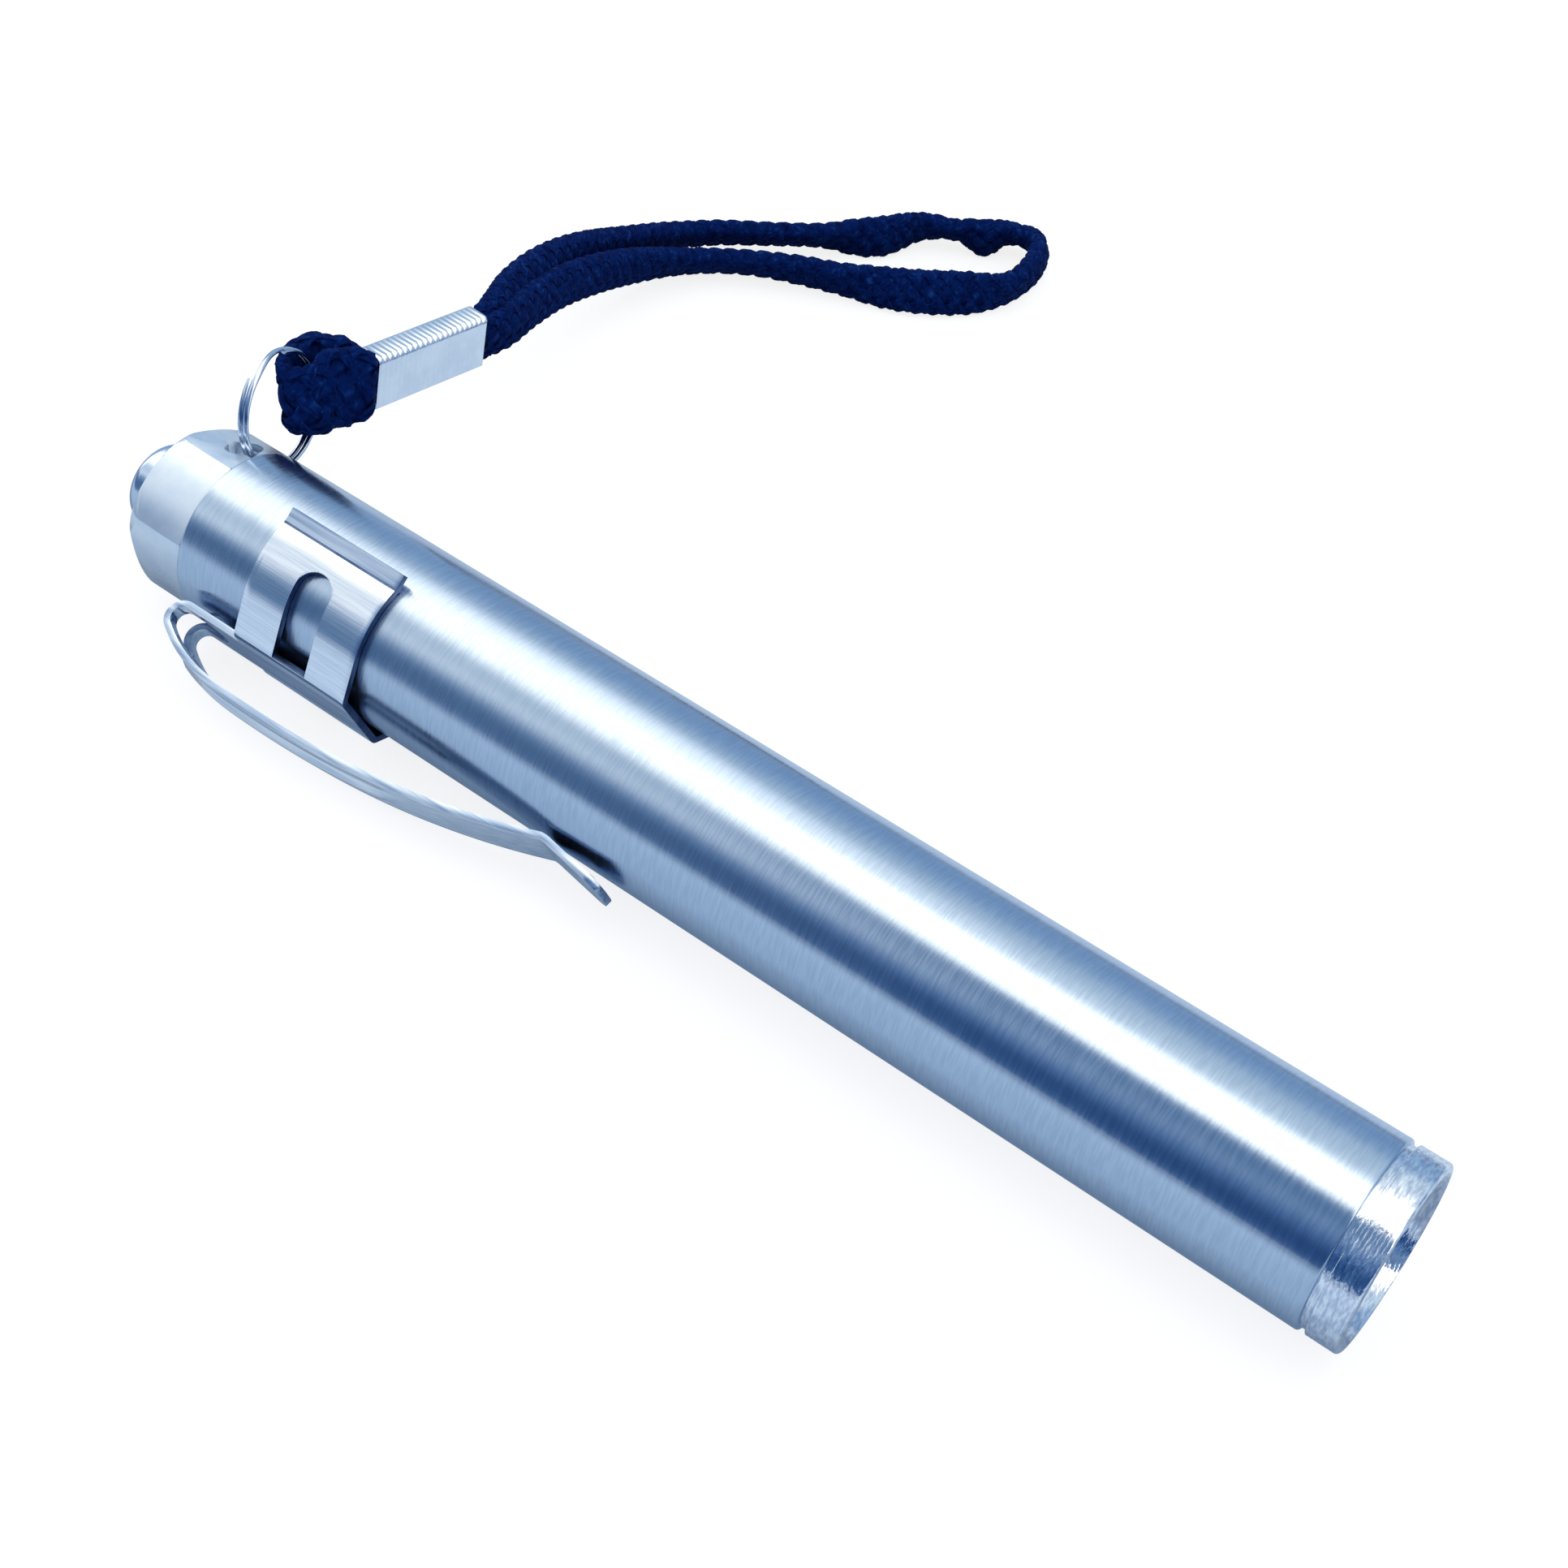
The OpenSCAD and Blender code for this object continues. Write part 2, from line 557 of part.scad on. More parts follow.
// Cap: a hexagon with a rounded back, a threaded spigot and a drilled corner
module tail_cap() color("lightgray") difference() {
  union() {
    intersection() {
      rotate([ring_up - 30, 0, 0]) translate([cap_back, 0, 0]) rotate([0, 90, 0])
        cylinder(r = barrel_r, h = cap_len, $fn = 6);
      turned(concat([[0, cap_back]],
        arc([cap_r - cap_round, cap_back + cap_round], cap_round, -90, 0, 8), [[cap_r, tail_x], [0, tail_x]]));
    }
    bar(spigot_r, tail_x - eps, spigot_end);
  }
  bar(button_r + button_gap, cap_back - 1, spigot_end);
  bar(switch_r, cap_back + back_wall, spigot_end + 1);
  bar(mouth_r, mouth_x, spigot_end + 1);
  pipe(spigot_r + 1, seal_mid_r - seal_d / 2 - seat, seal_x - seal_d / 2 - 0.1, seal_x + seal_d / 2 + 0.1);
  at_hole() {
    cylinder(r = hole_r, h = barrel_d, center = true);
    for (s = [-1, 1]) translate([0, 0, s * 1.75]) rotate([s > 0 ? 0 : 180, 0, 0])
      cylinder(r1 = hole_r, r2 = hole_r + hole_flare, h = 1.2);
  }
}

// Switch housing: a plastic sleeve with a flange held by the retainer
module switch_housing() color("whitesmoke") difference() {
  union() {
    bar(switch_r - seat, housing_back, housing_front);
    bar(mouth_r - seat, mouth_x, spigot_end - retainer_len);
  }
  bar(plunger_r + 1, housing_back - 1, housing_shoulder);
  bar(plunger_r + 0.1, housing_shoulder - 1, contact_x0 + contact_len);
  bar(pin_r, housing_back, housing_front + 1);
}

module switch_retainer() color("goldenrod") difference() {
  pipe(mouth_r - seat, switch_r + seat, spigot_end - retainer_len, spigot_end);
  for (a = [0, 180]) rotate([a, 0, 0]) translate([spigot_end - 0.5, -0.4, switch_r]) cube([1, 0.8, 2]);
}

module contact_ring() color("goldenrod")
  pipe(plunger_r + 0.1 - seat, plunger_r - ring_w, contact_x0, contact_x0 + contact_len);

module terminal_pin() color("goldenrod") {
  bar(pin_r + pin_head, contact_x0, contact_x0 + contact_len);
  bar(pin_r - seat, contact_x0 + contact_len - eps, housing_front);
}

module terminal_plate() color("goldenrod") bar(plate_r, housing_front, housing_front + plate_len);

module battery_spring() color("gold")
  coil(housing_front + plate_len, cell_back, tail_spring_r, tail_spring_tip_r, 6, spring_wire);

// Button: a domed cap with a flange that keeps it in
module button() color("gainsboro") {
  end = cap_back - button_proud;
  turned(concat([[0, end - 0.15]],
    [[button_r - button_round - 0.9, end - 0.08]],
    arc([button_r - button_round, end + button_round], button_round, -90, 0, 6),
    [[button_r, flange_back], [flange_r, flange_back], [flange_r, flange_front], [0, flange_front]]));
}

module plunger() color("white") difference() {
  bar(plunger_r, flange_front, plunger_front);
  for (a = [0:90:270]) rotate([a, 0, 0])
    translate([flange_front + 2.4, -0.35, plunger_r - 0.35]) cube([1.4, 0.7, 1]);
}

module contact_bridge() color("goldenrod") bar(bridge_r, plunger_front, plunger_front + bridge_len);

module button_spring() color("gold")
  coil(flange_front, housing_shoulder, plunger_r + 0.45, plunger_r + 0.45, 4, 0.35);

// Ring: two turns of round wire side by side
module split_ring() color("silver") at_hole() rotate([0, 0, ring_lean])
  translate([0, ring_r - 0.34, 0]) rotate([0, 90, 0]) rotate_extrude() for (s = [-1, 1])
    translate([ring_r, s * ring_wire / 2 * 0.96]) circle(d = ring_wire, $fn = 24);

module ring_loop() color("midnightblue") flat_cord(loop_route);

// Ferrule: a flat folded sleeve on its edge
module ferrule() color("lightgray") translate(ferrule_near)
  rotate([0, ferrule_dip, 90]) translate([ferrule_len / 2, 0, 0]) rotate([90, 0, 90]) difference() {
    linear_extrude(ferrule_len, center = true) ferrule_outline(0);
    linear_extrude(ferrule_len + 1, center = true) ferrule_outline(ferrule_wall);
  }
module ferrule_outline(inset) {
  r = 0.5;
  w = ferrule_t - 2 * inset;
  h = ferrule_w - 2 * inset;
  corner = max(0.1, r - inset);
  square([w - 2 * corner, h], center = true);
  square([w, h - 2 * corner], center = true);
  for (x = [-1, 1], y = [-1, 1])
    translate([x * (w / 2 - corner), y * (h / 2 - corner)]) circle(r = corner, $fn = 24);
}

module wrist_loop() color("midnightblue") flat_cord(wrist_route);

barrel_tube();
head_bezel();
lens();
lens_gasket();
reflector();
led_lamp();
led_leads();
lamp_holder();
driver_board();
board_parts();
front_spring();
cell_can();
cell_stud();
cell_jacket();
clip_band();
clip_arm();
cap_seal();
tail_cap();
switch_housing();
switch_retainer();
contact_ring();
terminal_pin();
terminal_plate();
battery_spring();
button();
button_spring();
plunger();
contact_bridge();
split_ring();
ring_loop();
ferrule();
wrist_loop();
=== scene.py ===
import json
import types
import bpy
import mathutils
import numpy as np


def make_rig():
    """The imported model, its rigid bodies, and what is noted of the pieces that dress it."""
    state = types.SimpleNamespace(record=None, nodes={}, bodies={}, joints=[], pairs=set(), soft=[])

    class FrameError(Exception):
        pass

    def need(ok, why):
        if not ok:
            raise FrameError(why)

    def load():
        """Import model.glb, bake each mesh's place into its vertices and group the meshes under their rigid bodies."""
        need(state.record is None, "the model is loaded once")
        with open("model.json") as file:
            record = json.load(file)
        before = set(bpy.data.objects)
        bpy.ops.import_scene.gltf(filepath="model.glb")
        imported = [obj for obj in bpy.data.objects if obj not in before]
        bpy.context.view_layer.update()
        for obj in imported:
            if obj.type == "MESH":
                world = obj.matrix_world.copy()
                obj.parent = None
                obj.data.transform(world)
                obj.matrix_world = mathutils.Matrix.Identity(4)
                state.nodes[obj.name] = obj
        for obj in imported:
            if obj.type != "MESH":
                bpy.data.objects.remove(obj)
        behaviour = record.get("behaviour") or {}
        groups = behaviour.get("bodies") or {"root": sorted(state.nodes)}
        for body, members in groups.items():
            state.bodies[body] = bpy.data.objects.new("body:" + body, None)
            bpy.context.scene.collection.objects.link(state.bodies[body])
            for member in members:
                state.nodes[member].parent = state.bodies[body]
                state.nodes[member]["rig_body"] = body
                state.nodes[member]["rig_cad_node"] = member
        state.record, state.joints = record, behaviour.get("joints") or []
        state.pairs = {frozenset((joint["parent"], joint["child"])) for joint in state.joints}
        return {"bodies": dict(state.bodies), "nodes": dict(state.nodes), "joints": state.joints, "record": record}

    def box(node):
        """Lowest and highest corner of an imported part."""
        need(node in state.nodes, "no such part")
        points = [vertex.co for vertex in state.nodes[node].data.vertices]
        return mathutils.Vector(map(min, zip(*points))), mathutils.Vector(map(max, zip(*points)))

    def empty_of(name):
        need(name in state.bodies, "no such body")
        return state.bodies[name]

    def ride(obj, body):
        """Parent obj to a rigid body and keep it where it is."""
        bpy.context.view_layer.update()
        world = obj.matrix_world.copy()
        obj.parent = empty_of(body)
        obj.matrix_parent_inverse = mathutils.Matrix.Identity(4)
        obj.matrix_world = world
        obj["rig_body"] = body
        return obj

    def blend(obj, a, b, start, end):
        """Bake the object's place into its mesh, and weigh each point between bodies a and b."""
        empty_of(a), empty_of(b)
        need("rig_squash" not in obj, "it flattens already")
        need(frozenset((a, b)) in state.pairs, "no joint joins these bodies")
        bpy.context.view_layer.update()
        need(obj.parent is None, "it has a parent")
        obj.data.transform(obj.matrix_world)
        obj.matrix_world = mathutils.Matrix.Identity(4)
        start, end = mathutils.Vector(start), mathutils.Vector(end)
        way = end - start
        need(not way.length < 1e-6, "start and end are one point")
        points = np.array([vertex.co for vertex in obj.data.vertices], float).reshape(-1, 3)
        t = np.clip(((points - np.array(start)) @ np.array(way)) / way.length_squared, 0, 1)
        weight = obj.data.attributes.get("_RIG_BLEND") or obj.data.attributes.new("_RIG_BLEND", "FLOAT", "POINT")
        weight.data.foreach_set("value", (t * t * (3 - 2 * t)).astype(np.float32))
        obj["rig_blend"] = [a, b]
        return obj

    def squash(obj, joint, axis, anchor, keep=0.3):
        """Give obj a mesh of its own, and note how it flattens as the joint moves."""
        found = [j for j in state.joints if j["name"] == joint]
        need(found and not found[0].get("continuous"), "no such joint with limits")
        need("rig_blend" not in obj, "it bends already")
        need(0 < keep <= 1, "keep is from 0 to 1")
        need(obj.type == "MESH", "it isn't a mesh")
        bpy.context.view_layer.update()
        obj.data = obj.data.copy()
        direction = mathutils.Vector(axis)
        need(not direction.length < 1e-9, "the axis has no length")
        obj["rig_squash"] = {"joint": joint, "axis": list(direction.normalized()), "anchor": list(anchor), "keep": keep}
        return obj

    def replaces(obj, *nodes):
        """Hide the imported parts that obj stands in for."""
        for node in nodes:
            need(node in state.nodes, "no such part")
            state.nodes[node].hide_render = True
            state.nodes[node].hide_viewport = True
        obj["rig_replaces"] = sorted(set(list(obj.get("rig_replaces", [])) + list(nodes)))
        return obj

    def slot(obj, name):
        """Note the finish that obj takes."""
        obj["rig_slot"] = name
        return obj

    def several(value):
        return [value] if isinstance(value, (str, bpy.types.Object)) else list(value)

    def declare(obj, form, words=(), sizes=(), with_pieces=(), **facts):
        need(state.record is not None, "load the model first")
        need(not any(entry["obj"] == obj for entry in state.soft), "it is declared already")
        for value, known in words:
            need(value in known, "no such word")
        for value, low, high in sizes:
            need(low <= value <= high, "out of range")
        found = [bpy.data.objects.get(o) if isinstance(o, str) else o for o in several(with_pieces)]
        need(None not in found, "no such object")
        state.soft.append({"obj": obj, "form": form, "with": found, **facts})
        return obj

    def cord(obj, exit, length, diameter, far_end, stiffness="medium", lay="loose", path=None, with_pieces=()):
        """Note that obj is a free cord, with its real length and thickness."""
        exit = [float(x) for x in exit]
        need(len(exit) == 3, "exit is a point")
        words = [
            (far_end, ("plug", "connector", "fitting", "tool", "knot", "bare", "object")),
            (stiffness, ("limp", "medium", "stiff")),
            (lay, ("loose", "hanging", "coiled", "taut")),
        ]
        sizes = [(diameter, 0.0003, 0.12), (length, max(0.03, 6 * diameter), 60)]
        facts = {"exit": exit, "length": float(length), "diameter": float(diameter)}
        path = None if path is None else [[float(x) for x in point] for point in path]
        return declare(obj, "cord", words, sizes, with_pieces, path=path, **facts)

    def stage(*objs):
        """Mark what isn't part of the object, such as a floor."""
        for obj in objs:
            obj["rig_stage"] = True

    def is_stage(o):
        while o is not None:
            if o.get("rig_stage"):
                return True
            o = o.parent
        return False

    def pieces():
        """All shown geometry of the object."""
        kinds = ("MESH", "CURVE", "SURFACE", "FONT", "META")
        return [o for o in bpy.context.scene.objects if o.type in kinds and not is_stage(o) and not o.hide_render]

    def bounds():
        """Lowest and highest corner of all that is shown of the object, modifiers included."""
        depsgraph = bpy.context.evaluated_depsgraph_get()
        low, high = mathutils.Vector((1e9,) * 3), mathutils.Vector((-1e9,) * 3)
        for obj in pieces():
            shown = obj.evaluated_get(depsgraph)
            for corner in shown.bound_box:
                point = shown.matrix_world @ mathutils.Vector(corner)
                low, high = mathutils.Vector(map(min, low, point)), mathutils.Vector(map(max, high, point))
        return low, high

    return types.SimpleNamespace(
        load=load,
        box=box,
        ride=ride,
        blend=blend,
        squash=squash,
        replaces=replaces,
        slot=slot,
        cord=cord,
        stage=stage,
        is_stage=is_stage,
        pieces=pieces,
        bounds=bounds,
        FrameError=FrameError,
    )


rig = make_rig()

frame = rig.load()

import json
import math

import bpy
from mathutils import Matrix, Vector

# Sizes in this script are millimetres, as on a maker's drawing, and MM turns them into the frame's metres.
MM = 0.001
cad_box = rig.bounds()
nodes = frame["nodes"]


# Sizes taken from the frame

def span(node, axis):
    """Lowest and highest place of a CAD node along one axis, in millimetres."""
    low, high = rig.box(node)
    return low[axis] / MM, high[axis] / MM


TAIL, HEAD = span("barrel_tube", 0)
BARREL_R = span("barrel_tube", 1)[1]
BEZEL_BACK, FRONT = span("head_bezel", 0)
BUTTON_END = span("button", 0)[0]
CAP_BACK = span("tail_cap", 0)[0]
FLOOR = -BARREL_R - 0.55
TABLE_GLOW = 0.82
PUSH = 1.5


# Camera, floor and light

LENS = 55.9
SENSOR = 36
CAMERA_AT = (59.75, -94.34, 112.43)
CAMERA_FORWARD = (-0.3756, 0.6195, -0.6893)
CAMERA_RIGHT = (0.7904, 0.6025, 0.1108)


def make_camera():
    back = -Vector(CAMERA_FORWARD).normalized()
    right = Vector(CAMERA_RIGHT)
    right = (right - back * right.dot(back)).normalized()
    turn = Matrix((right, back.cross(right), back)).transposed()
    data = bpy.data.cameras.new("camera")
    data.lens = LENS
    data.sensor_width = SENSOR
    data.sensor_fit = "HORIZONTAL"
    data.clip_start = 0.005
    camera = bpy.data.objects.new("camera", data)
    camera.matrix_world = Matrix.Translation(Vector(CAMERA_AT) * MM) @ turn.to_4x4()
    bpy.context.scene.collection.objects.link(camera)
    bpy.context.scene.camera = camera


class Nodes:
    """Short way to build a node tree: a node is added with its settings, and sockets are linked by name."""

    def __init__(self, tree):
        self.tree = tree
        tree.nodes.clear()

    def add(self, kind, inputs=None, **settings):
        node = self.tree.nodes.new(kind)
        for name, value in settings.items():
            setattr(node, name, value)
        for name, value in (inputs or {}).items():
            if isinstance(value, bpy.types.NodeSocket):
                self.tree.links.new(value, node.inputs[name])
            else:
                node.inputs[name].default_value = value
        return node

    def ramp(self, value, stops, smooth=True):
        node = self.add("ShaderNodeValToRGB", {0: value})
        elements = node.color_ramp.elements
        while len(elements) < len(stops):
            elements.new(0.5)
        for element, (place, colour) in zip(elements, stops):
            element.position = place
            element.color = (*colour, 1)
        node.color_ramp.interpolation = "EASE" if smooth else "LINEAR"
        return node.outputs["Color"]

    def math(self, operation, a, b=0.0):
        return self.add("ShaderNodeMath", {0: a, 1: b}, operation=operation).outputs[0]


# What metal mirrors round the barrel: degrees above the side that faces the clip, then the light there as the
# lamp end and as the tail end sees it. The two are mixed where the mirrored ray leans to the tail.
GLOW = 2.4
TAILWARD = (-0.18, -0.46)
WANDER = 0.09
SURROUND = [
    (-2, (0.10, 0.20, 0.40), (0.18, 0.29, 0.48)), (6, (0.03, 0.10, 0.26), (0.13, 0.22, 0.36)),
    (18, (0.03, 0.09, 0.24), (0.13, 0.22, 0.36)), (29, (0.10, 0.21, 0.42), (0.30, 0.41, 0.56)),
    (44, (0.26, 0.38, 0.56), (1.10, 1.12, 1.12)), (56, (0.16, 0.28, 0.46), (0.92, 0.97, 1.00)),
    (66, (0.22, 0.34, 0.52), (0.95, 1.00, 1.02)), (72, (2.30, 2.10, 1.80), (1.20, 1.20, 1.15)),
    (86, (2.30, 2.10, 1.80), (2.30, 2.10, 1.80)), (103, (2.30, 2.10, 1.80), (2.30, 2.10, 1.80)),
    (109, (1.10, 1.15, 1.15), (2.30, 2.10, 1.80)), (118, (0.88, 0.96, 1.00), (2.00, 1.90, 1.75)),
    (134, (0.68, 0.80, 0.89), (0.72, 0.82, 0.90)), (150, (0.41, 0.56, 0.75), (0.41, 0.56, 0.75)),
    (168, (0.30, 0.46, 0.66), (0.30, 0.46, 0.66)), (180, (0.36, 0.50, 0.70), (0.36, 0.50, 0.70))]


def make_world():
    world = bpy.data.worlds.new("studio")
    bpy.context.scene.world = world
    world.use_nodes = True
    n = Nodes(world.node_tree)
    way = n.add("ShaderNodeTexCoord").outputs["Generated"]
    axes = n.add("ShaderNodeSeparateXYZ", {0: way}).outputs
    angle = n.math("ARCTAN2", axes["Z"], n.math("MULTIPLY", axes["Y"], -1.0))
    spread = n.add("ShaderNodeMapping", {"Vector": way, "Scale": (26, 2.5, 2.5)}).outputs[0]
    wave = n.add("ShaderNodeTexNoise", {"Vector": spread, "Scale": 1.0, "Detail": 2.0}).outputs["Fac"]
    shift = n.math("MULTIPLY", n.math("SUBTRACT", wave, 0.5), WANDER)
    place = n.math("ADD", n.math("ADD", n.math("DIVIDE", angle, 2 * math.pi), 0.5), shift)
    stops = [[((row[0] + 180) / 360, [c / GLOW for c in row[end]]) for row in SURROUND] for end in (1, 2)]
    views = [n.ramp(place, each, smooth=False) for each in stops]
    tailward = n.add("ShaderNodeMapRange", {"Value": axes["X"], "From Min": TAILWARD[0],
                                            "From Max": TAILWARD[1]}).outputs[0]
    seen = n.add("ShaderNodeMix", {0: tailward, 6: views[0], 7: views[1]}, data_type="RGBA").outputs[2]
    rays = n.add("ShaderNodeLightPath").outputs
    soft = n.add("ShaderNodeBackground", {"Color": (0.9, 0.95, 1.0, 1), "Strength": 0.8}).outputs[0]
    mirror = n.add("ShaderNodeBackground", {"Color": seen, "Strength": GLOW}).outputs[0]
    white = n.add("ShaderNodeBackground", {"Color": (1, 1, 1, 1), "Strength": 1.0}).outputs[0]
    lit = n.add("ShaderNodeMixShader", {0: rays["Is Glossy Ray"], 1: soft, 2: mirror}).outputs[0]
    out = n.add("ShaderNodeMixShader", {0: rays["Is Camera Ray"], 1: lit, 2: white}).outputs[0]
    n.add("ShaderNodeOutputWorld", {"Surface": out})


def make_floor():
    """White table. The camera sees it white; metal mirrors it with a painted shadow beside the light, and darker far
    off.
    """
    bpy.ops.mesh.primitive_plane_add(size=3, location=(0, 0, FLOOR * MM))
    floor = bpy.context.object
    floor.name = "floor"
    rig.stage(floor)
    material = bpy.data.materials.new("white_table")
    material.use_nodes = True
    n = Nodes(material.node_tree)
    rays = n.add("ShaderNodeLightPath").outputs
    axes = n.add("ShaderNodeSeparateXYZ", {0: n.add("ShaderNodeTexCoord").outputs["Object"]}).outputs
    # Painted shadow: seen in metal, the table is dark close beside the barrel, where the light's shadow falls, and
    # darker again far off.
    far = n.math("MULTIPLY", n.math("ABSOLUTE", axes["Y"]), 4.0)
    mirrored = n.ramp(far, [(0.02, (0.12, 0.20, 0.31)), (0.05, (0.42, 0.55, 0.69)), (0.2, (0.52, 0.65, 0.80)),
                            (0.6, (0.14, 0.23, 0.36))], smooth=False)
    clear = n.math("MAXIMUM", rays["Is Camera Ray"], rays["Is Transmission Ray"])
    shade = n.add("ShaderNodeMix", {0: clear, "A": mirrored, "B": (1, 1, 1, 1)}, data_type="RGBA")
    seen = n.math("MAXIMUM", clear, rays["Is Glossy Ray"])
    strength = n.math("MULTIPLY", seen, TABLE_GLOW)
    glow = n.add("ShaderNodeEmission", {"Color": shade.outputs["Result"], "Strength": strength}).outputs[0]
    matte = n.add("ShaderNodeBsdfDiffuse", {"Color": (0.3, 0.3, 0.31, 1)}).outputs[0]
    both = n.add("ShaderNodeAddShader", {0: matte, 1: glow}).outputs[0]
    n.add("ShaderNodeOutputMaterial", {"Surface": both})
    floor.data.materials.append(material)


def make_lamp(name, place, target, size, power):
    data = bpy.data.lights.new(name, "AREA")
    data.shape = "RECTANGLE"
    data.size, data.size_y = size
    data.energy = power
    lamp = bpy.data.objects.new(name, data)
    lamp.location = place
    lamp.rotation_euler = (Vector(target) - Vector(place)).to_track_quat("-Z", "Y").to_euler()
    bpy.context.scene.collection.objects.link(lamp)


# Materials

def new_material(name):
    material = bpy.data.materials.new(name)
    material.use_nodes = True
    return material, Nodes(material.node_tree)


def finish_material(n, inputs):
    shader = n.add("ShaderNodeBsdfPrincipled", inputs)
    n.add("ShaderNodeOutputMaterial", {"Surface": shader.outputs[0]})


def stretched_noise(n, scale, detail=3.0):
    """Noise with its own scale along X, Y and Z, per metre, for the lines that a brush or a wheel leaves."""
    where = n.add("ShaderNodeTexCoord").outputs["Object"]
    place = n.add("ShaderNodeMapping", {"Vector": where, "Scale": scale}).outputs[0]
    return n.add("ShaderNodeTexNoise", {"Vector": place, "Scale": 1.0, "Detail": detail}).outputs["Fac"]


def crowned(n, share):
    """Normal that leans on the cap's flats towards the way out from the axis, as on crowned flats."""
    at = n.add("ShaderNodeSeparateXYZ", {0: n.add("ShaderNodeTexCoord").outputs["Object"]}).outputs
    out = n.add("ShaderNodeCombineXYZ", {1: at[1], 2: at[2]}).outputs[0]
    turned_out = n.add("ShaderNodeVectorTransform", {0: out}, vector_type="VECTOR", convert_from="OBJECT",
                       convert_to="WORLD").outputs[0]
    outward = n.add("ShaderNodeVectorMath", {0: turned_out}, operation="NORMALIZE").outputs[0]
    own = n.add("ShaderNodeNewGeometry").outputs["Normal"]
    endward = n.math("ABSOLUTE", n.add("ShaderNodeSeparateXYZ", {0: own}).outputs[0])
    here = n.add("ShaderNodeMapRange", {"Value": endward, "From Max": 0.5, "To Min": share,
                                        "To Max": 0.0}).outputs[0]
    leaning = n.add("ShaderNodeMix", {0: here, 4: own, 5: outward}, data_type="VECTOR").outputs[1]
    return n.add("ShaderNodeVectorMath", {0: leaning}, operation="NORMALIZE").outputs[0]


def grained_metal(name, dark, light, roughness, scale, bump, wear=0.06, anisotropic=0.0, turn=0.0,
                  metallic=1.0, crown=0.0):
    """Metal with fine lines: the same noise drives its shade, its gloss and a shallow relief."""
    material, n = new_material(name)
    line = stretched_noise(n, scale)
    cloud = stretched_noise(n, (90, 90, 90), 2.0)
    shade = n.ramp(line, [(0.3, dark), (0.7, light)])
    gloss = n.math("ADD", n.math("MULTIPLY", n.math("SUBTRACT", line, 0.5), wear * 2),
                   n.math("ADD", n.math("MULTIPLY", n.math("SUBTRACT", cloud, 0.5), wear), roughness))
    lines = {"Strength": 1.0, "Distance": bump * MM, "Height": line}
    if crown:
        lines["Normal"] = crowned(n, crown)
    relief = n.add("ShaderNodeBump", lines).outputs[0]
    inputs = {"Base Color": shade, "Metallic": metallic, "Roughness": gloss, "Normal": relief}
    if anisotropic:
        inputs["Anisotropic"] = anisotropic
        inputs["Anisotropic Rotation"] = turn
        inputs["Tangent"] = n.add("ShaderNodeTangent", direction_type="RADIAL", axis="X").outputs[0]
    finish_material(n, inputs)
    return material


def clear_plastic(name, colour, ior, roughness):
    material, n = new_material(name)
    haze = stretched_noise(n, (800, 800, 800), 2.0)
    rough = n.math("ADD", n.math("MULTIPLY", haze, 0.02), roughness)
    finish_material(n, {"Base Color": (*colour, 1), "Roughness": rough, "IOR": ior,
                        "Transmission Weight": 1.0})
    return material


def moulded(name, colour, roughness, speck=0.15):
    """Plastic, rubber or enamel with a slight texture and a small change of shade."""
    material, n = new_material(name)
    cloud = stretched_noise(n, (600, 600, 600))
    darker, lighter = [c * (1 - speck) for c in colour], [min(1, c * (1 + speck)) for c in colour]
    shade = n.ramp(cloud, [(0.3, darker), (0.7, lighter)])
    rough = n.math("ADD", n.math("MULTIPLY", cloud, 0.15), roughness - 0.07)
    relief = n.add("ShaderNodeBump", {"Strength": 0.5, "Distance": 0.02 * MM, "Height": cloud}).outputs[0]
    finish_material(n, {"Base Color": shade, "Roughness": rough, "Normal": relief})
    return material


def braided_cord(name):
    """Dark yarn: fine fibres run along each yarn of the braid, by its own UV map, with a faint blue sheen."""
    material, n = new_material(name)
    along = n.add("ShaderNodeTexCoord").outputs["UV"]
    place = n.add("ShaderNodeMapping", {"Vector": along, "Scale": (4, 1.2, 1)}).outputs[0]
    fibre = n.add("ShaderNodeTexNoise", {"Vector": place, "Scale": 3.0, "Detail": 4.0}).outputs["Fac"]
    fleck = stretched_noise(n, (1300, 1300, 1300), 1.0)
    mixed = n.math("ADD", n.math("MULTIPLY", fibre, 0.6), n.math("MULTIPLY", fleck, 0.4))
    shade = n.ramp(mixed, [(0.35, (0.0, 0.004, 0.045)), (0.52, (0.0005, 0.013, 0.11)),
                           (0.72, (0.008, 0.05, 0.23))])
    relief = n.add("ShaderNodeBump", {"Strength": 0.8, "Distance": 0.05 * MM, "Height": fibre}).outputs[0]
    finish_material(n, {"Base Color": shade, "Roughness": 0.8, "Specular IOR Level": 0.04,
                        "Sheen Weight": 0.03, "Sheen Roughness": 0.4, "Sheen Tint": (0.25, 0.4, 0.8, 1),
                        "Normal": relief})
    return material


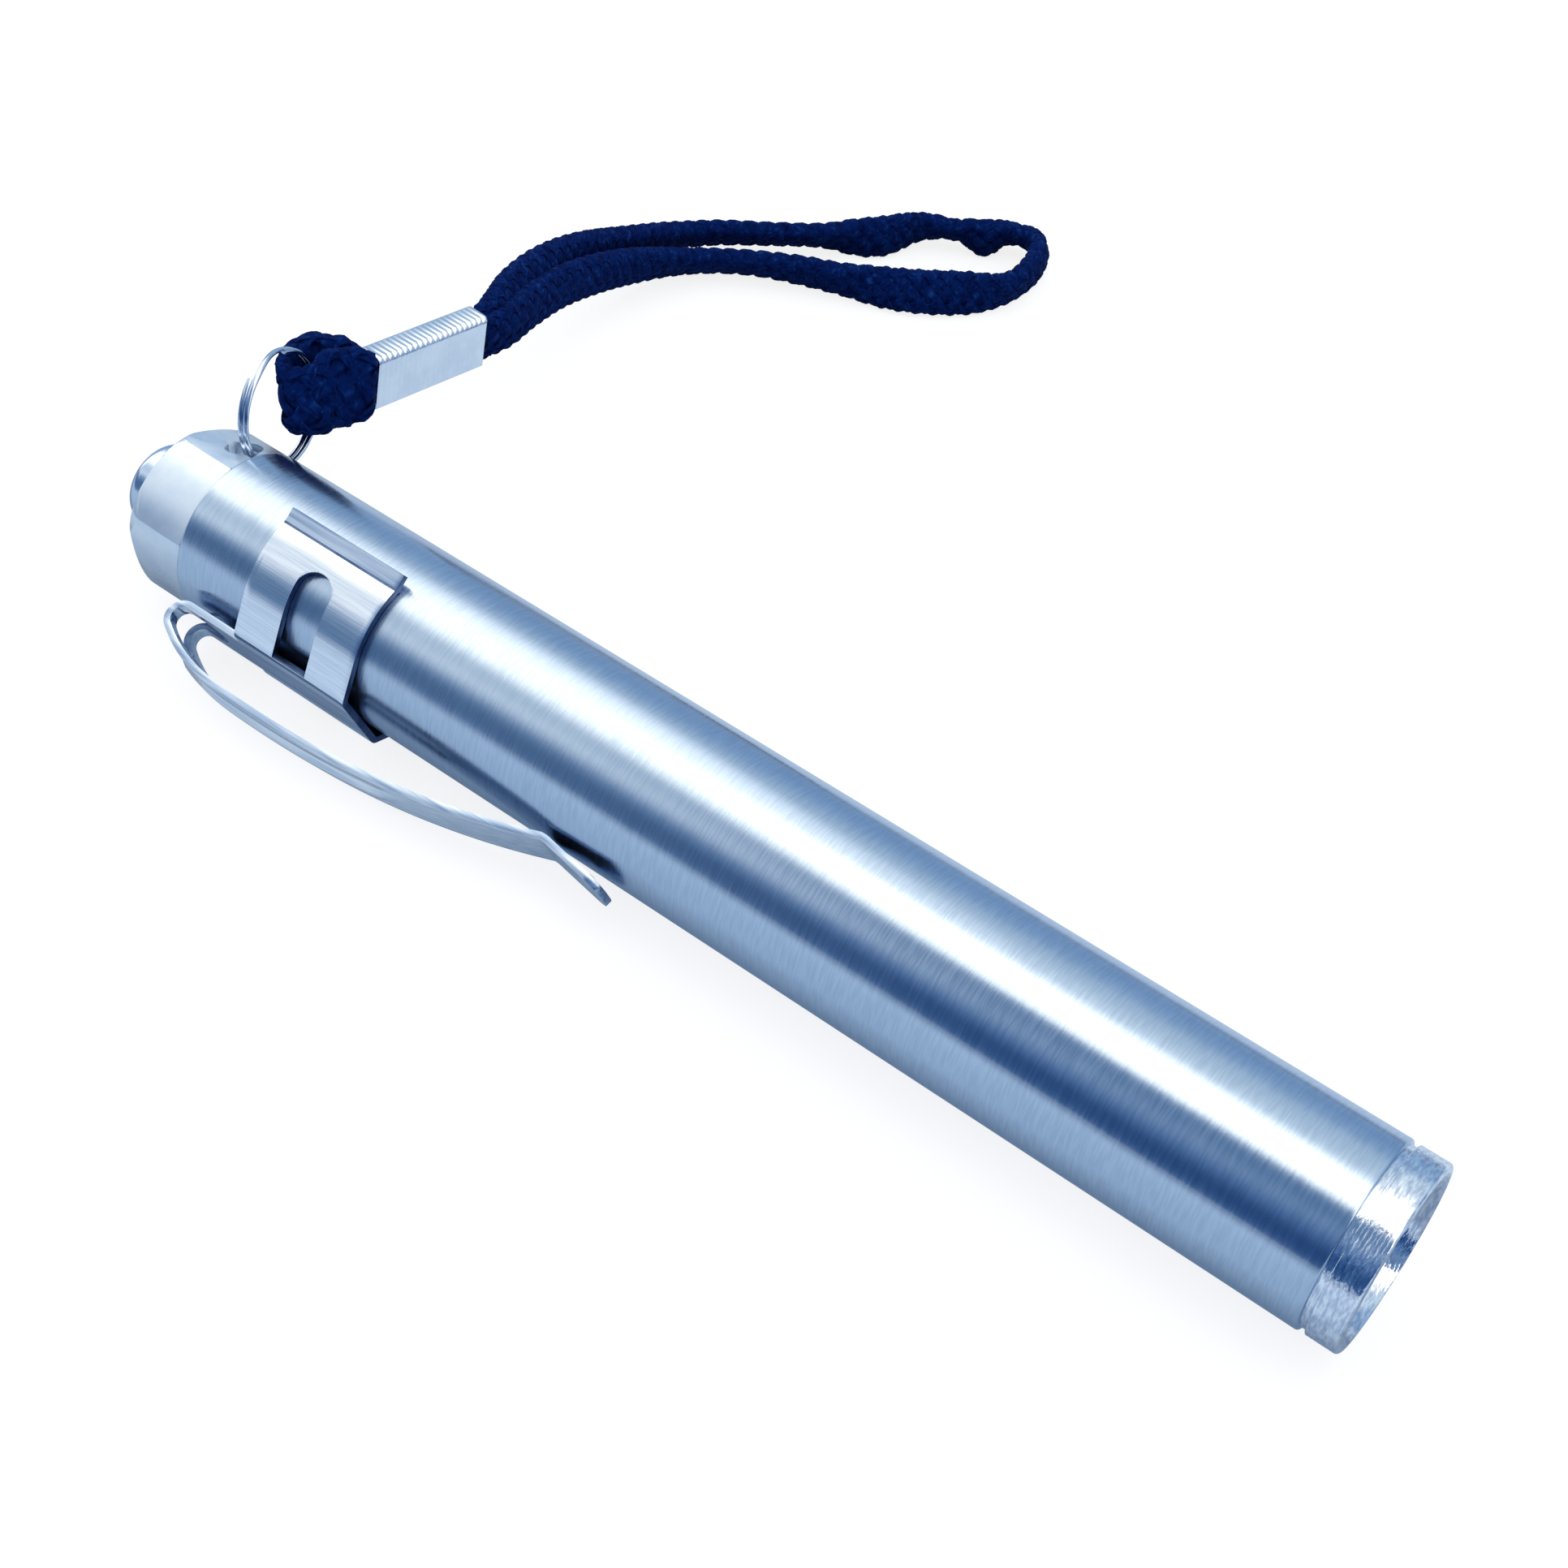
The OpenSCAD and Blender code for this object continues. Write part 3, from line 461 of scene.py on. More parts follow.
def make_materials():
    around, along, clip_lines = (6000, 600, 600), (250, 9000, 9000), (100, 2400, 2400)
    return {
        "brushed": grained_metal("brushed_steel", (0.40, 0.51, 0.66), (0.47, 0.58, 0.73), 0.19, around, 0.008,
                                 anisotropic=0.9, turn=0.25),
        "polished": grained_metal("polished_rim", (0.46, 0.54, 0.69), (0.82, 0.88, 0.96), 0.06,
                                  (5000, 1300, 1300), 0.04, wear=0.03),
        "sheet": grained_metal("clip_sheet", (0.62, 0.70, 0.82), (0.78, 0.85, 0.94), 0.14, along, 0.003,
                               wear=0.05),
        "arm": grained_metal("clip_arm_sheet", (0.66, 0.74, 0.86), (0.96, 0.98, 1.0), 0.12, clip_lines, 0.006,
                             wear=0.05),
        # Dark cut edges: partly their own darker tone, partly painted shadow of the gaps beside them. It also makes the
        # painted shade line in each lip's crease, and lines the window and slot walls.
        "dark_edge_shade": grained_metal("cut_rim_and_painted_shade", (0.05, 0.09, 0.19), (0.10, 0.16, 0.29), 0.35,
                                  (900, 900, 900), 0.004, wear=0.1),
        # Dimmer tone for the arm's edges, the band's tail-side edges and the leaf. It also carries painted shade: a
        # painted mid-blue reflection on each lip's flare, and a painted shadow line under the ferrule's crimps.
        "dim_tone_shade": grained_metal("dim_sheet_and_painted_shade", (0.22, 0.32, 0.50), (0.50, 0.60, 0.75), 0.2, clip_lines,
                                  0.004),
        "satin": grained_metal("satin_cap", (0.66, 0.77, 0.91), (0.76, 0.86, 0.96), 0.3, (500, 500, 500),
                               0.01, wear=0.1, metallic=0.72, crown=0.6),
        "chrome": grained_metal("button_chrome", (0.48, 0.59, 0.76), (0.58, 0.68, 0.84), 0.13,
                                (300, 300, 300), 0.002, wear=0.04),
        "wire": grained_metal("ring_wire", (0.38, 0.48, 0.64), (0.62, 0.70, 0.82), 0.14, (700, 700, 700),
                              0.003, wear=0.05),
        "plated": grained_metal("ferrule_plate", (0.70, 0.77, 0.86), (0.80, 0.86, 0.93), 0.3,
                                (500, 500, 500), 0.006, wear=0.1),
        "mirror": grained_metal("reflector_mirror", (0.9, 0.91, 0.93), (0.95, 0.96, 0.97), 0.06,
                                (600, 600, 600), 0.001, wear=0.02),
        "brass": grained_metal("turned_brass", (0.62, 0.46, 0.2), (0.78, 0.62, 0.32), 0.3, around, 0.006,
                               wear=0.08),
        "spring": grained_metal("spring_wire", (0.6, 0.56, 0.48), (0.76, 0.72, 0.62), 0.22, (700, 700, 700),
                                0.003),
        "can": grained_metal("cell_can", (0.6, 0.62, 0.64), (0.72, 0.74, 0.76), 0.3, along, 0.003),
        "lens": clear_plastic("clear_window", (0.93, 0.97, 1.0), 1.49, 0.01),
        "lamp": clear_plastic("lamp_epoxy", (0.97, 0.97, 0.8), 1.53, 0.03),
        "rubber": moulded("seal_rubber", (0.02, 0.02, 0.022), 0.6),
        "board": moulded("board_green", (0.02, 0.12, 0.05), 0.3),
        "black": moulded("chip_black", (0.02, 0.02, 0.025), 0.45),
        "white": moulded("switch_white", (0.75, 0.76, 0.75), 0.45, 0.05),
        "sleeve": moulded("cell_sleeve", (0.03, 0.04, 0.07), 0.3),
        "braid": braided_cord("strap_braid"),
    }


CAD_FINISH = {
    "lens_gasket": "rubber", "led_lamp": "lamp", "led_leads": "spring", "lamp_holder": "brass",
    "driver_board": "board", "board_parts": "black", "front_spring": "spring", "cell_can": "can",
    "cell_stud": "can", "cell_jacket": "sleeve", "cap_seal": "rubber", "switch_housing": "white",
    "switch_retainer": "brass", "contact_ring": "brass", "terminal_pin": "brass", "terminal_plate": "brass",
    "battery_spring": "spring", "plunger": "white", "contact_bridge": "brass"}


def dress_cad_nodes(materials):
    """Finishes for the pieces inside the light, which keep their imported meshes."""
    for node, finish in CAD_FINISH.items():
        slots = nodes[node].data.materials
        slots.clear()
        slots.append(materials[finish])


# Modelling helpers

def activate(piece):
    bpy.ops.object.select_all(action="DESELECT")
    piece.select_set(True)
    bpy.context.view_layer.objects.active = piece


def modify(piece, kind, **settings):
    activate(piece)
    modifier = piece.modifiers.new(kind.lower(), kind)
    for name, value in settings.items():
        setattr(modifier, name, value)
    bpy.ops.object.modifier_apply(modifier=modifier.name)


def new_piece(name, points, faces):
    mesh = bpy.data.meshes.new(name)
    mesh.from_pydata([Vector(p) * MM for p in points], (), faces)
    piece = bpy.data.objects.new(name, mesh)
    bpy.context.scene.collection.objects.link(piece)
    return piece


def merge(piece, gap):
    activate(piece)
    bpy.ops.object.mode_set(mode="EDIT")
    bpy.ops.mesh.select_all(action="SELECT")
    bpy.ops.mesh.remove_doubles(threshold=gap * MM)
    bpy.ops.mesh.normals_make_consistent(inside=False)
    bpy.ops.object.mode_set(mode="OBJECT")


def smooth(piece, degrees=35):
    activate(piece)
    bpy.ops.object.shade_smooth_by_angle(angle=math.radians(degrees))


def place(piece, body, material, slot, *replaced):
    if material:
        piece.data.materials.clear()
        piece.data.materials.append(material)
    if body:
        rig.ride(piece, body)
    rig.slot(piece, slot)
    if replaced:
        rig.replaces(piece, *replaced)


def wrapped_faces(rows, sides):
    """Faces of an open tube whose points run in rings of the same count."""
    pairs = [(j, (j + 1) % sides) for j in range(sides)]
    return [(i * sides + j, i * sides + k, (i + 1) * sides + k, (i + 1) * sides + j)
            for i in range(rows) for j, k in pairs]


def turned(name, outline, steps):
    """Turns an outline of (place along X, radius) points round the barrel's axis."""
    on_axis = outline[0][1] == 0 and outline[-1][1] == 0
    rings = outline if on_axis else outline + outline[:1]
    points = [(x, r * math.sin(a), r * math.cos(a)) for x, r in rings
              for a in (2 * math.pi * i / steps for i in range(steps))]
    piece = new_piece(name, points, wrapped_faces(len(rings) - 1, steps))
    merge(piece, 0.001)
    smooth(piece)
    return piece


def arc(centre, radius, start, end, count):
    """Points of an arc in the plane of (x, r), from one angle to another in degrees."""
    turns = [math.radians(start + (end - start) * i / count) for i in range(count + 1)]
    return [(centre[0] + radius * math.cos(a), centre[1] + radius * math.sin(a)) for a in turns]


# Barrel and lamp end

SOCKET_R, BORE_R = BARREL_R - 0.55, BARREL_R - 0.8
HEAD_SOCKET, TAIL_SOCKET = 6.3, 6.6
EDGE = 0.2
BEZEL_R = BARREL_R - 0.05
BEZEL_BORE = 4.9
GROOVE_DEPTH = 0.25


def make_barrel(materials):
    outline = [(TAIL, BARREL_R - EDGE), *arc((TAIL + EDGE, BARREL_R - EDGE), EDGE, 180, 90, 4),
               *arc((HEAD - EDGE, BARREL_R - EDGE), EDGE, 90, 0, 4),
               (HEAD, SOCKET_R), (HEAD - HEAD_SOCKET, SOCKET_R), (HEAD - HEAD_SOCKET, BORE_R),
               (TAIL + TAIL_SOCKET, BORE_R), (TAIL + TAIL_SOCKET, SOCKET_R), (TAIL, SOCKET_R)]
    tube = turned("barrel_sleeve", outline, 192)
    place(tube, "barrel", materials["brushed"], "barrel_steel", "barrel_tube")


def make_bezel(materials):
    """Rim with a groove behind it, fine turned ridges, a rounded nose and a cone down to the window."""
    seat, plug = span("lens", 1)[1] + 0.03, SOCKET_R - 0.03
    nose, cone_end, lip = FRONT - 0.3, FRONT - 1.75, FRONT - 2.2
    ridges = [(HEAD + 0.56 + 0.05 * i, BEZEL_R - 0.005 + 0.005 * math.cos(i * math.pi / 2.5))
              for i in range(34)]
    outline = [(BEZEL_BACK, seat), (BEZEL_BACK, plug), (HEAD, plug), (HEAD, BEZEL_R - GROOVE_DEPTH),
               (HEAD + 0.42, BEZEL_R - GROOVE_DEPTH), (HEAD + 0.45, BEZEL_R - 0.04), (HEAD + 0.5, BEZEL_R),
               *ridges, *arc((nose, BEZEL_R - 0.3), 0.3, 88, 4, 8), (FRONT, BEZEL_R - 0.34),
               (FRONT, BEZEL_R - 0.5), (FRONT - 0.04, BEZEL_R - 0.54), (cone_end + 0.09, BEZEL_BORE + 0.02),
               (cone_end, BEZEL_BORE), (lip, BEZEL_BORE), (lip, seat)]
    bezel = turned("bezel_rim", outline, 160)
    place(bezel, "barrel", materials["polished"], "bezel_chrome", "head_bezel")


def make_window(materials):
    back, front = span("lens", 0)
    radius, edge = span("lens", 1)[1], 0.1
    outline = [(back, 0), (back, radius - edge), (back + edge, radius), (front - edge, radius),
               (front, radius - edge), (front, 0)]
    window = turned("window_disc", outline, 96)
    place(window, "barrel", materials["lens"], "lens_clear", "lens")


def make_reflector(materials):
    """Cup whose section is a parabola from the lamp's throat to its mouth, with a wall and a rim."""
    back, front = span("reflector", 0)
    mouth, throat, rim = 4.9, 2.65, span("reflector", 1)[1]
    wall, rim_depth, steps = 0.35, 0.6, 24

    def cup(i):
        opening = mouth ** 2 - throat ** 2
        return back + (front - back) * i / steps, math.sqrt(throat ** 2 + opening * i / steps)

    outline = [cup(i) for i in range(steps + 1)] + [(front, rim), (front - rim_depth, rim)]
    outline += [(x, r + wall) for x, r in (cup(i) for i in range(steps - 2, -1, -1))]
    piece = turned("reflector_cup", outline, 120)
    place(piece, "barrel", materials["mirror"], "reflector_silver", "reflector")


def make_button(materials):
    """Button with a faintly domed face, a rounded edge and the flange that holds it in the cap."""
    radius, flange, rounding = 3.3, 3.85, 1.0
    flange_back, flange_front = CAP_BACK + 1.25, CAP_BACK + 2.05
    edge = BUTTON_END + 0.15
    outline = [(BUTTON_END, 0), (BUTTON_END + 0.03, 0.7), (BUTTON_END + 0.08, 1.4),
               *arc((edge + rounding, radius - rounding), rounding, 180, 90, 10),
               (flange_back - 0.05, radius), (flange_back, radius + 0.05), (flange_back, flange),
               (flange_front, flange), (flange_front, 0)]
    piece = turned("push_button", outline, 96)
    place(piece, "button", materials["chrome"], "button_chrome", "button")


def make_button_spring(materials):
    """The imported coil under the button's flange. It shortens with the button, and its inner end stays put."""
    piece = bpy.data.objects.new("push_spring", nodes["button_spring"].data.copy())
    bpy.context.scene.collection.objects.link(piece)
    merge(piece, 0.001)
    smooth(piece, 40)
    place(piece, "button", materials["spring"], "spring_plate", "button_spring")
    outer, inner = span("button_spring", 0)
    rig.squash(piece, "button_push", axis=(1, 0, 0), anchor=(outer * MM, 0, 0),
              keep=1 - PUSH / (inner - outer))


def make_cap(materials):
    """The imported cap, merged so that its rounded back shades as one surface and its flats stay flat."""
    piece = bpy.data.objects.new("hex_cap", nodes["tail_cap"].data.copy())
    bpy.context.scene.collection.objects.link(piece)
    merge(piece, 0.001)
    smooth(piece, 24)
    modify(piece, "WEIGHTED_NORMAL", mode="FACE_AREA", weight=90, keep_sharp=True)
    place(piece, "tail_cap", materials["satin"], "cap_metal", "tail_cap")


# Clip

CLIP_TURN = math.radians(118)
SHEET = 0.5
CLIP_IN = BARREL_R + 0.05
LEAF_IN = CLIP_IN + 0.05
BAND_START, BAND_END = 7.0, 17.4
FOLD = math.radians(48)
WRAP = math.radians(96)
FLARE = math.radians(22)
LIP_CREASE = math.radians(2)
LIP_STEPS, LIP_STEP = 6, 0.217
STRIP_W, ARM_W = 4.6, 4.0
BEND_R = 1.3
BEND_X, BEND_H = 0.75 + BEND_R, LEAF_IN + BEND_R
BEND_END = math.radians(122)
BOW_X, BOW_TOP = 10.5, 10.9
CONTACT_X, TIP_X, TIP_RISE = 34.7, 40.2, 0.8
RIB_START, RIB_END, RIB_HALF, RIB_RISE = 2.6, 24.0, 0.8, 0.3
TIP_CORNER = 1.3
DIMPLE_X, DIMPLE_DEPTH = 38.4, 0.22
WINDOW_HALF, WINDOW_TOP, WINDOW_LOW = 1.55, math.radians(70), math.radians(25)
SLOT_HALF, SLOT_LEAF_END, SLOT_ARM_END = 1.2, 4.6, 3.2
STRIP_COLUMNS, BAND_ROWS = 12, 20
LEAF_STEPS, BEND_STEPS, ARM_STEPS, TIP_STEPS = 12, 24, 70, 24
CLIP_MATERIALS = ("sheet", "dark_edge_shade", "arm", "dim_tone_shade")
DARK_EDGE_SHADE, DIM_TONE_SHADE = 1, 3


def from_clip(x, side, height):
    """A point of the clip's drawing: along from the tail seam, across, and out from the barrel's axis."""
    c, s = math.cos(CLIP_TURN), math.sin(CLIP_TURN)
    return Vector((TAIL + x, side * c - height * s, side * s + height * c))


def arm_rise(x):
    """Height of the arm's outer face over the barrel's axis."""
    start = BEND_X + BEND_R * math.cos(BEND_END)
    if x < BOW_X:
        drop = BOW_TOP - BEND_H - BEND_R * math.sin(BEND_END)
        return BOW_TOP - drop * ((BOW_X - x) / (BOW_X - start)) ** 3
    return BOW_TOP - (BOW_TOP - LEAF_IN - SHEET - 0.02) * ((x - BOW_X) / (CONTACT_X - BOW_X)) ** 2.2


def strip_path():
    """Middle of the sheet from the band's edge along the leaf, round the bend and along the arm."""
    middle = LEAF_IN + SHEET / 2
    leaf = [(BAND_START - (BAND_START - BEND_X) * i / LEAF_STEPS, middle) for i in range(LEAF_STEPS)]
    radius = BEND_R - SHEET / 2
    turns = (-math.pi / 2 - (3 * math.pi / 2 - BEND_END) * i / BEND_STEPS for i in range(BEND_STEPS + 1))
    bend = [(BEND_X + radius * math.cos(a), BEND_H + radius * math.sin(a)) for a in turns]
    start = BEND_X + BEND_R * math.cos(BEND_END)
    face = [(x, arm_rise(x)) for x in
            (start + (CONTACT_X - start) * i / ARM_STEPS for i in range(ARM_STEPS + 1))]
    low = face[-1][1]
    face += [(CONTACT_X + 0.25, low + 0.005), (CONTACT_X + 0.55, low + 0.04)]
    tip_start, tip_low = CONTACT_X + 0.9, 0.1
    face += [(tip_start + (TIP_X - tip_start) * i / TIP_STEPS,
              low + tip_low + (TIP_RISE - tip_low) * i / TIP_STEPS) for i in range(TIP_STEPS + 1)]
    arm = []
    for i in range(1, len(face)):
        before, after = face[i - 1], face[min(i + 1, len(face) - 1)]
        run, rise = after[0] - before[0], after[1] - before[1]
        length = math.hypot(run, rise)
        arm.append((face[i][0] + rise / length * SHEET / 2, face[i][1] - run / length * SHEET / 2))
    return leaf + bend + arm, len(leaf) + len(bend)


def ease(value):
    value = min(1.0, max(0.0, value))
    return value * value * (3 - 2 * value)


def grid_faces(rows, columns):
    """Faces of a sheet whose points run in rows, with one point more than columns in each."""
    row = columns + 1
    return [(i * row + j, i * row + j + 1, (i + 1) * row + j + 1, (i + 1) * row + j)
            for i in range(rows) for j in range(columns)]


def make_strip():
    """Leaf, bend and arm as one sheet. The arm narrows to round corners, with a rib and a dimple."""
    path, arm_from = strip_path()
    points = []
    for k, (x, height) in enumerate(path):
        on_arm = k >= arm_from
        half = (STRIP_W + (ARM_W - STRIP_W) * x / CONTACT_X) / 2 if on_arm else STRIP_W / 2
        left = TIP_X - x
        if on_arm and left < TIP_CORNER:
            half -= TIP_CORNER - math.sqrt(max(0.0, TIP_CORNER ** 2 - (TIP_CORNER - left) ** 2))
        for j in range(STRIP_COLUMNS + 1):
            side = half * (2 * j / STRIP_COLUMNS - 1)
            rise = 0.0
            if on_arm:
                ends = ease((x - RIB_START) / 1.2) * ease((RIB_END - x) / 2.5)
                rise = RIB_RISE * ends * ease((RIB_HALF - abs(side)) / 0.45)
                rise -= DIMPLE_DEPTH * math.exp(-((x - DIMPLE_X) ** 2 + side ** 2) / 0.45)
            points.append(from_clip(x, side, height + rise))
    return new_piece("strip", points, grid_faces(len(path) - 1, STRIP_COLUMNS))


def band_outline():
    """Middle of the band's sheet across the barrel, from one free edge over the middle to the other."""
    radius = CLIP_IN + SHEET / 2
    height = LEAF_IN + SHEET / 2
    fillet = 0.4 + SHEET / 2
    corner = (radius - height * math.cos(FOLD)) / math.sin(FOLD) - fillet * math.tan((math.pi / 2 - FOLD) / 2)
    flat = [(STRIP_W / STRIP_COLUMNS * j, height) for j in range(STRIP_COLUMNS // 2 + 1)]
    fold = [(corner + fillet * math.sin(a), height - fillet + fillet * math.cos(a))
            for a in (FOLD * i / 6 for i in range(7))]
    last, touch = fold[-1], (radius * math.sin(FOLD), radius * math.cos(FOLD))
    side = [(last[0] + (touch[0] - last[0]) * i / 6, last[1] + (touch[1] - last[1]) * i / 6)
            for i in range(1, 6)]
    wrap = [(radius * math.sin(a), radius * math.cos(a))
            for a in (FOLD + (WRAP - FOLD) * i / 16 for i in range(17))]
    lip, at = [], wrap[-1]
    for i in range(LIP_STEPS):
        turn = -WRAP + FLARE * min(1.0, (i + 1) / 3)
        at = (at[0] + LIP_STEP * math.cos(turn), at[1] + LIP_STEP * math.sin(turn))
        lip.append(at)
    half = flat + fold + side + wrap + lip
    return [(-u, v) for u, v in reversed(half[1:])] + half


def make_band():
    outline = band_outline()
    places = [BAND_START + (BAND_END - BAND_START) * i / BAND_ROWS for i in range(BAND_ROWS + 1)]
    points = [from_clip(x, u, v) for x in places for u, v in outline]
    return new_piece("band", points, grid_faces(BAND_ROWS, len(outline) - 1))


def prism(name, outline, put, low, high, material):
    """Closed block over an outline, each point placed at a low and a high depth."""
    count = len(outline)
    points = [put(u, v, depth) for depth in (low, high) for u, v in outline]
    faces = [tuple(range(count - 1, -1, -1)), tuple(range(count, 2 * count))]
    faces += [(i, (i + 1) % count, count + (i + 1) % count, count + i) for i in range(count)]
    block = new_piece(name, points, faces)
    block.data.materials.append(material)
    merge(block, 0.0001)
    return block


def cut(piece, cutter):
    modify(piece, "BOOLEAN", object=cutter, operation="DIFFERENCE", solver="EXACT", material_mode="TRANSFER")
    bpy.data.objects.remove(cutter)


def paint_clip_edges_and_shade(piece):
    """Lamp-side cut edges and each lip's free edge are dark: a darker cut edge with painted shadow of the gap to the
    barrel. Each lip's crease is a painted shade line, its flare a painted mid-blue reflection, and the leaf and other
    edges are dimmer.
    """
    c, s = math.cos(CLIP_TURN), math.sin(CLIP_TURN)
    for face in piece.data.polygons:
        middle = face.center / MM
        side, height = middle.y * c + middle.z * s, middle.z * c - middle.y * s
        turn = abs(math.atan2(side, height))
        on_band = middle.x > TAIL + BAND_START and height < LEAF_IN + SHEET
        leaf = abs(side) < 1.9 and height < LEAF_IN + SHEET + 0.05 and middle.x > TAIL + BEND_X
        if leaf and middle.x < TAIL + BAND_END - 0.1:
            face.material_index = DIM_TONE_SHADE
        elif face.material_index in (DARK_EDGE_SHADE, DIM_TONE_SHADE):
            # Painted shadow: lamp-side cut edges and each lip's free edge take the dark edge, for the gap shadow beside
            # them.
            shadowed_cut = on_band and (face.normal.x > 0.5 or turn > WRAP and abs(face.normal.x) < 0.5)
            face.material_index = DARK_EDGE_SHADE if shadowed_cut else DIM_TONE_SHADE
        # Painted shade line in each lip's crease, and a painted mid-blue reflection on the flare beyond it.
        elif on_band and turn > WRAP:
            face.material_index = DARK_EDGE_SHADE if turn < WRAP + LIP_CREASE else DIM_TONE_SHADE


def rounded_end(half, steps, start):
    """Half a circle of points from a start angle, for the round end of a window or a slot."""
    turns = (start + math.pi * i / steps for i in range(steps + 1))
    return [(half * math.cos(a), half * math.sin(a)) for a in turns]


def cut_window(clip, side, material):
    """An arched window through the band on one side, drawn along the barrel and round its axis."""
    middle = (BAND_START + BAND_END) / 2
    radius = CLIP_IN + SHEET
    arch = [(u, WINDOW_TOP + v / radius) for u, v in rounded_end(WINDOW_HALF, 20, 0)]
    outline = [(WINDOW_HALF, WINDOW_LOW), *arch, (-WINDOW_HALF, WINDOW_LOW)]

    def put(u, v, depth):
        return from_clip(middle + u, side * depth * math.sin(v), depth * math.cos(v))

    cut(clip, prism("window_tool", outline, put, BARREL_R - 0.6, BARREL_R + 2.4, material))


def cut_slot(clip, end, low, high, material):
    """A slot from the bend's back to a round end, between two heights."""
    arch = [(end - SLOT_HALF + u, v) for u, v in rounded_end(SLOT_HALF, 16, -math.pi / 2)]
    outline = [(-1.0, -SLOT_HALF), *arch, (-1.0, SLOT_HALF)]
    cut(clip, prism("slot_tool", outline, from_clip, low, high, material))


def make_clip(materials):
    strip, band = make_strip(), make_band()
    for part, part_materials in ((band, CLIP_MATERIALS[:2]), (strip, CLIP_MATERIALS[2:])):
        for finish in part_materials:
            part.data.materials.append(materials[finish])
    activate(band)
    strip.select_set(True)
    bpy.ops.object.join()
    band.name = "spring_clip"
    merge(band, 0.02)
    modify(band, "SOLIDIFY", thickness=SHEET * MM, offset=0.0, use_even_offset=True, material_offset_rim=1)
    paint_clip_edges_and_shade(band)
    # The walls of the windows and slots take the dark edge, partly painted shadow of the gap behind them.
    for side in (-1, 1):
        cut_window(band, side, materials["dark_edge_shade"])
    cut_slot(band, SLOT_LEAF_END, BEND_H - 3.0, BEND_H, materials["dark_edge_shade"])
    cut_slot(band, SLOT_ARM_END, BEND_H - 0.01, BEND_H + 4.0, materials["dark_edge_shade"])
    merge(band, 0.001)
    modify(band, "BEVEL", width=0.07 * MM, segments=2, limit_method="ANGLE", angle_limit=math.radians(50))
    smooth(band, 40)
    place(band, None, None, "clip_steel", "clip_band", "clip_arm")
    split = Vector((0.08, 0, 1))
    start = from_clip(0, 0, 8.5) * MM
    end = from_clip(0.6 * split.x, 0, 9.1) * MM
    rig.blend(band, "barrel", "clip_arm", start, end)


# Key ring

CORNER_UP = math.radians(38.5)
RING_LEAN = math.radians(14)
RING_R, WIRE_R, WIRE_FLAT = 4.4, 0.23, 0.18
HOLE = (TAIL - 2.4, 5.15)


def ring_axes():
    along = Vector((1, 0, 0))
    outward = Vector((0, math.cos(CORNER_UP), math.sin(CORNER_UP)))
    across = Vector((0, -math.sin(CORNER_UP), math.cos(CORNER_UP)))
    away = outward * math.cos(RING_LEAN) - along * math.sin(RING_LEAN)
    centre = along * HOLE[0] + outward * HOLE[1] + away * (RING_R - 0.34)
    return centre, away, across, away.cross(across).normalized()


def make_ring(materials):
    """Two turns of one wire; the turns change places between the wire's two ends."""
    centre, away, across, axis = ring_axes()
    gap, start = math.radians(24), math.radians(60)
    count = 220
    wire = [(math.cos(a), math.sin(a)) for a in (math.pi * j / 8 for j in range(16))]
    rings = []
    for i in range(count + 1):
        turn = gap + (4 * math.pi - 2 * gap) * i / count
        shift = (ease((turn - 2 * math.pi + gap) / (2 * gap)) * 2 - 1) * WIRE_R * 0.97
        out = math.cos(turn + start) * away + math.sin(turn + start) * across
        rings.append([centre + out * (RING_R + WIRE_FLAT * u) + axis * (shift + WIRE_R * v) for u, v in wire])
    ring = new_piece("key_ring", *tube_rings(rings))
    smooth(ring, 50)
    place(ring, "ring", materials["wire"], "ring_steel", "split_ring")


# Strap

# Routes close to those of the part's source: x, y, height of the middle, width, thickness, and lean of the
# width in degrees
WRIST_ROUTE = [
    (-48.6, 24.5, 3.5, 3.2, 0.7, 0), (-48.6, 27, 3.1, 3.2, 0.8, 0), (-49.3, 30.4, 3.3, 3.4, 1.4, 12),
    (-50.9, 34.4, 2.9, 3.4, 1.5, 20), (-52.5, 39.5, 1.9, 3.4, 1.5, 18), (-54.1, 45.7, 0, 3.4, 1.5, 0),
    (-55, 53, -2.4, 3.5, 1.6, -30), (-54.8, 59.8, -4.5, 3.6, 1.6, -35), (-52.6, 64.6, -5.1, 3.6, 1.6, -40),
    (-49, 68.2, -5.1, 3.6, 1.6, -45), (-45.6, 71.6, -5.1, 3.6, 1.6, -40), (-42.1, 75.1, -5.1, 3.6, 1.6, 10),
    (-40.2, 79.6, -5.1, 3.6, 1.6, -30), (-37.7, 81.9, -5.2, 3.5, 1.6, -50), (-35, 82.6, -5.1, 3.6, 1.6, -5),
    (-33.8, 85, -5.1, 3.5, 1.6, -45), (-31.7, 85.6, -5.1, 3.5, 1.6, -40), (-30, 84, -5.1, 3.6, 1.6, -10),
    (-28.9, 80.6, -5.1, 3.6, 1.6, 5), (-29, 76.2, -5.1, 3.6, 1.6, 15), (-31.6, 72.5, -5, 3.8, 1.6, -20),
    (-35.4, 69.2, -5, 3.7, 1.6, -15), (-39.8, 67, -5.1, 3.6, 1.6, 20), (-43.6, 65.2, -5.1, 3.6, 1.6, 30),
    (-47.2, 63, -5.1, 3.6, 1.6, 40), (-50.3, 60.2, -5.1, 3.6, 1.6, 40), (-52.1, 55.5, -4.2, 3.6, 1.6, 30),
    (-52.2, 48.6, -2, 3.5, 1.6, 5), (-51.3, 41.5, 0.1, 3.4, 1.5, -10), (-49.8, 35.5, 1.5, 3.4, 1.5, -12),
    (-48.3, 30.8, 2.4, 3.4, 1.4, -6), (-47.8, 27, 3.1, 3.2, 0.8, 0), (-47.8, 24.5, 3.5, 3.2, 0.7, 0)]
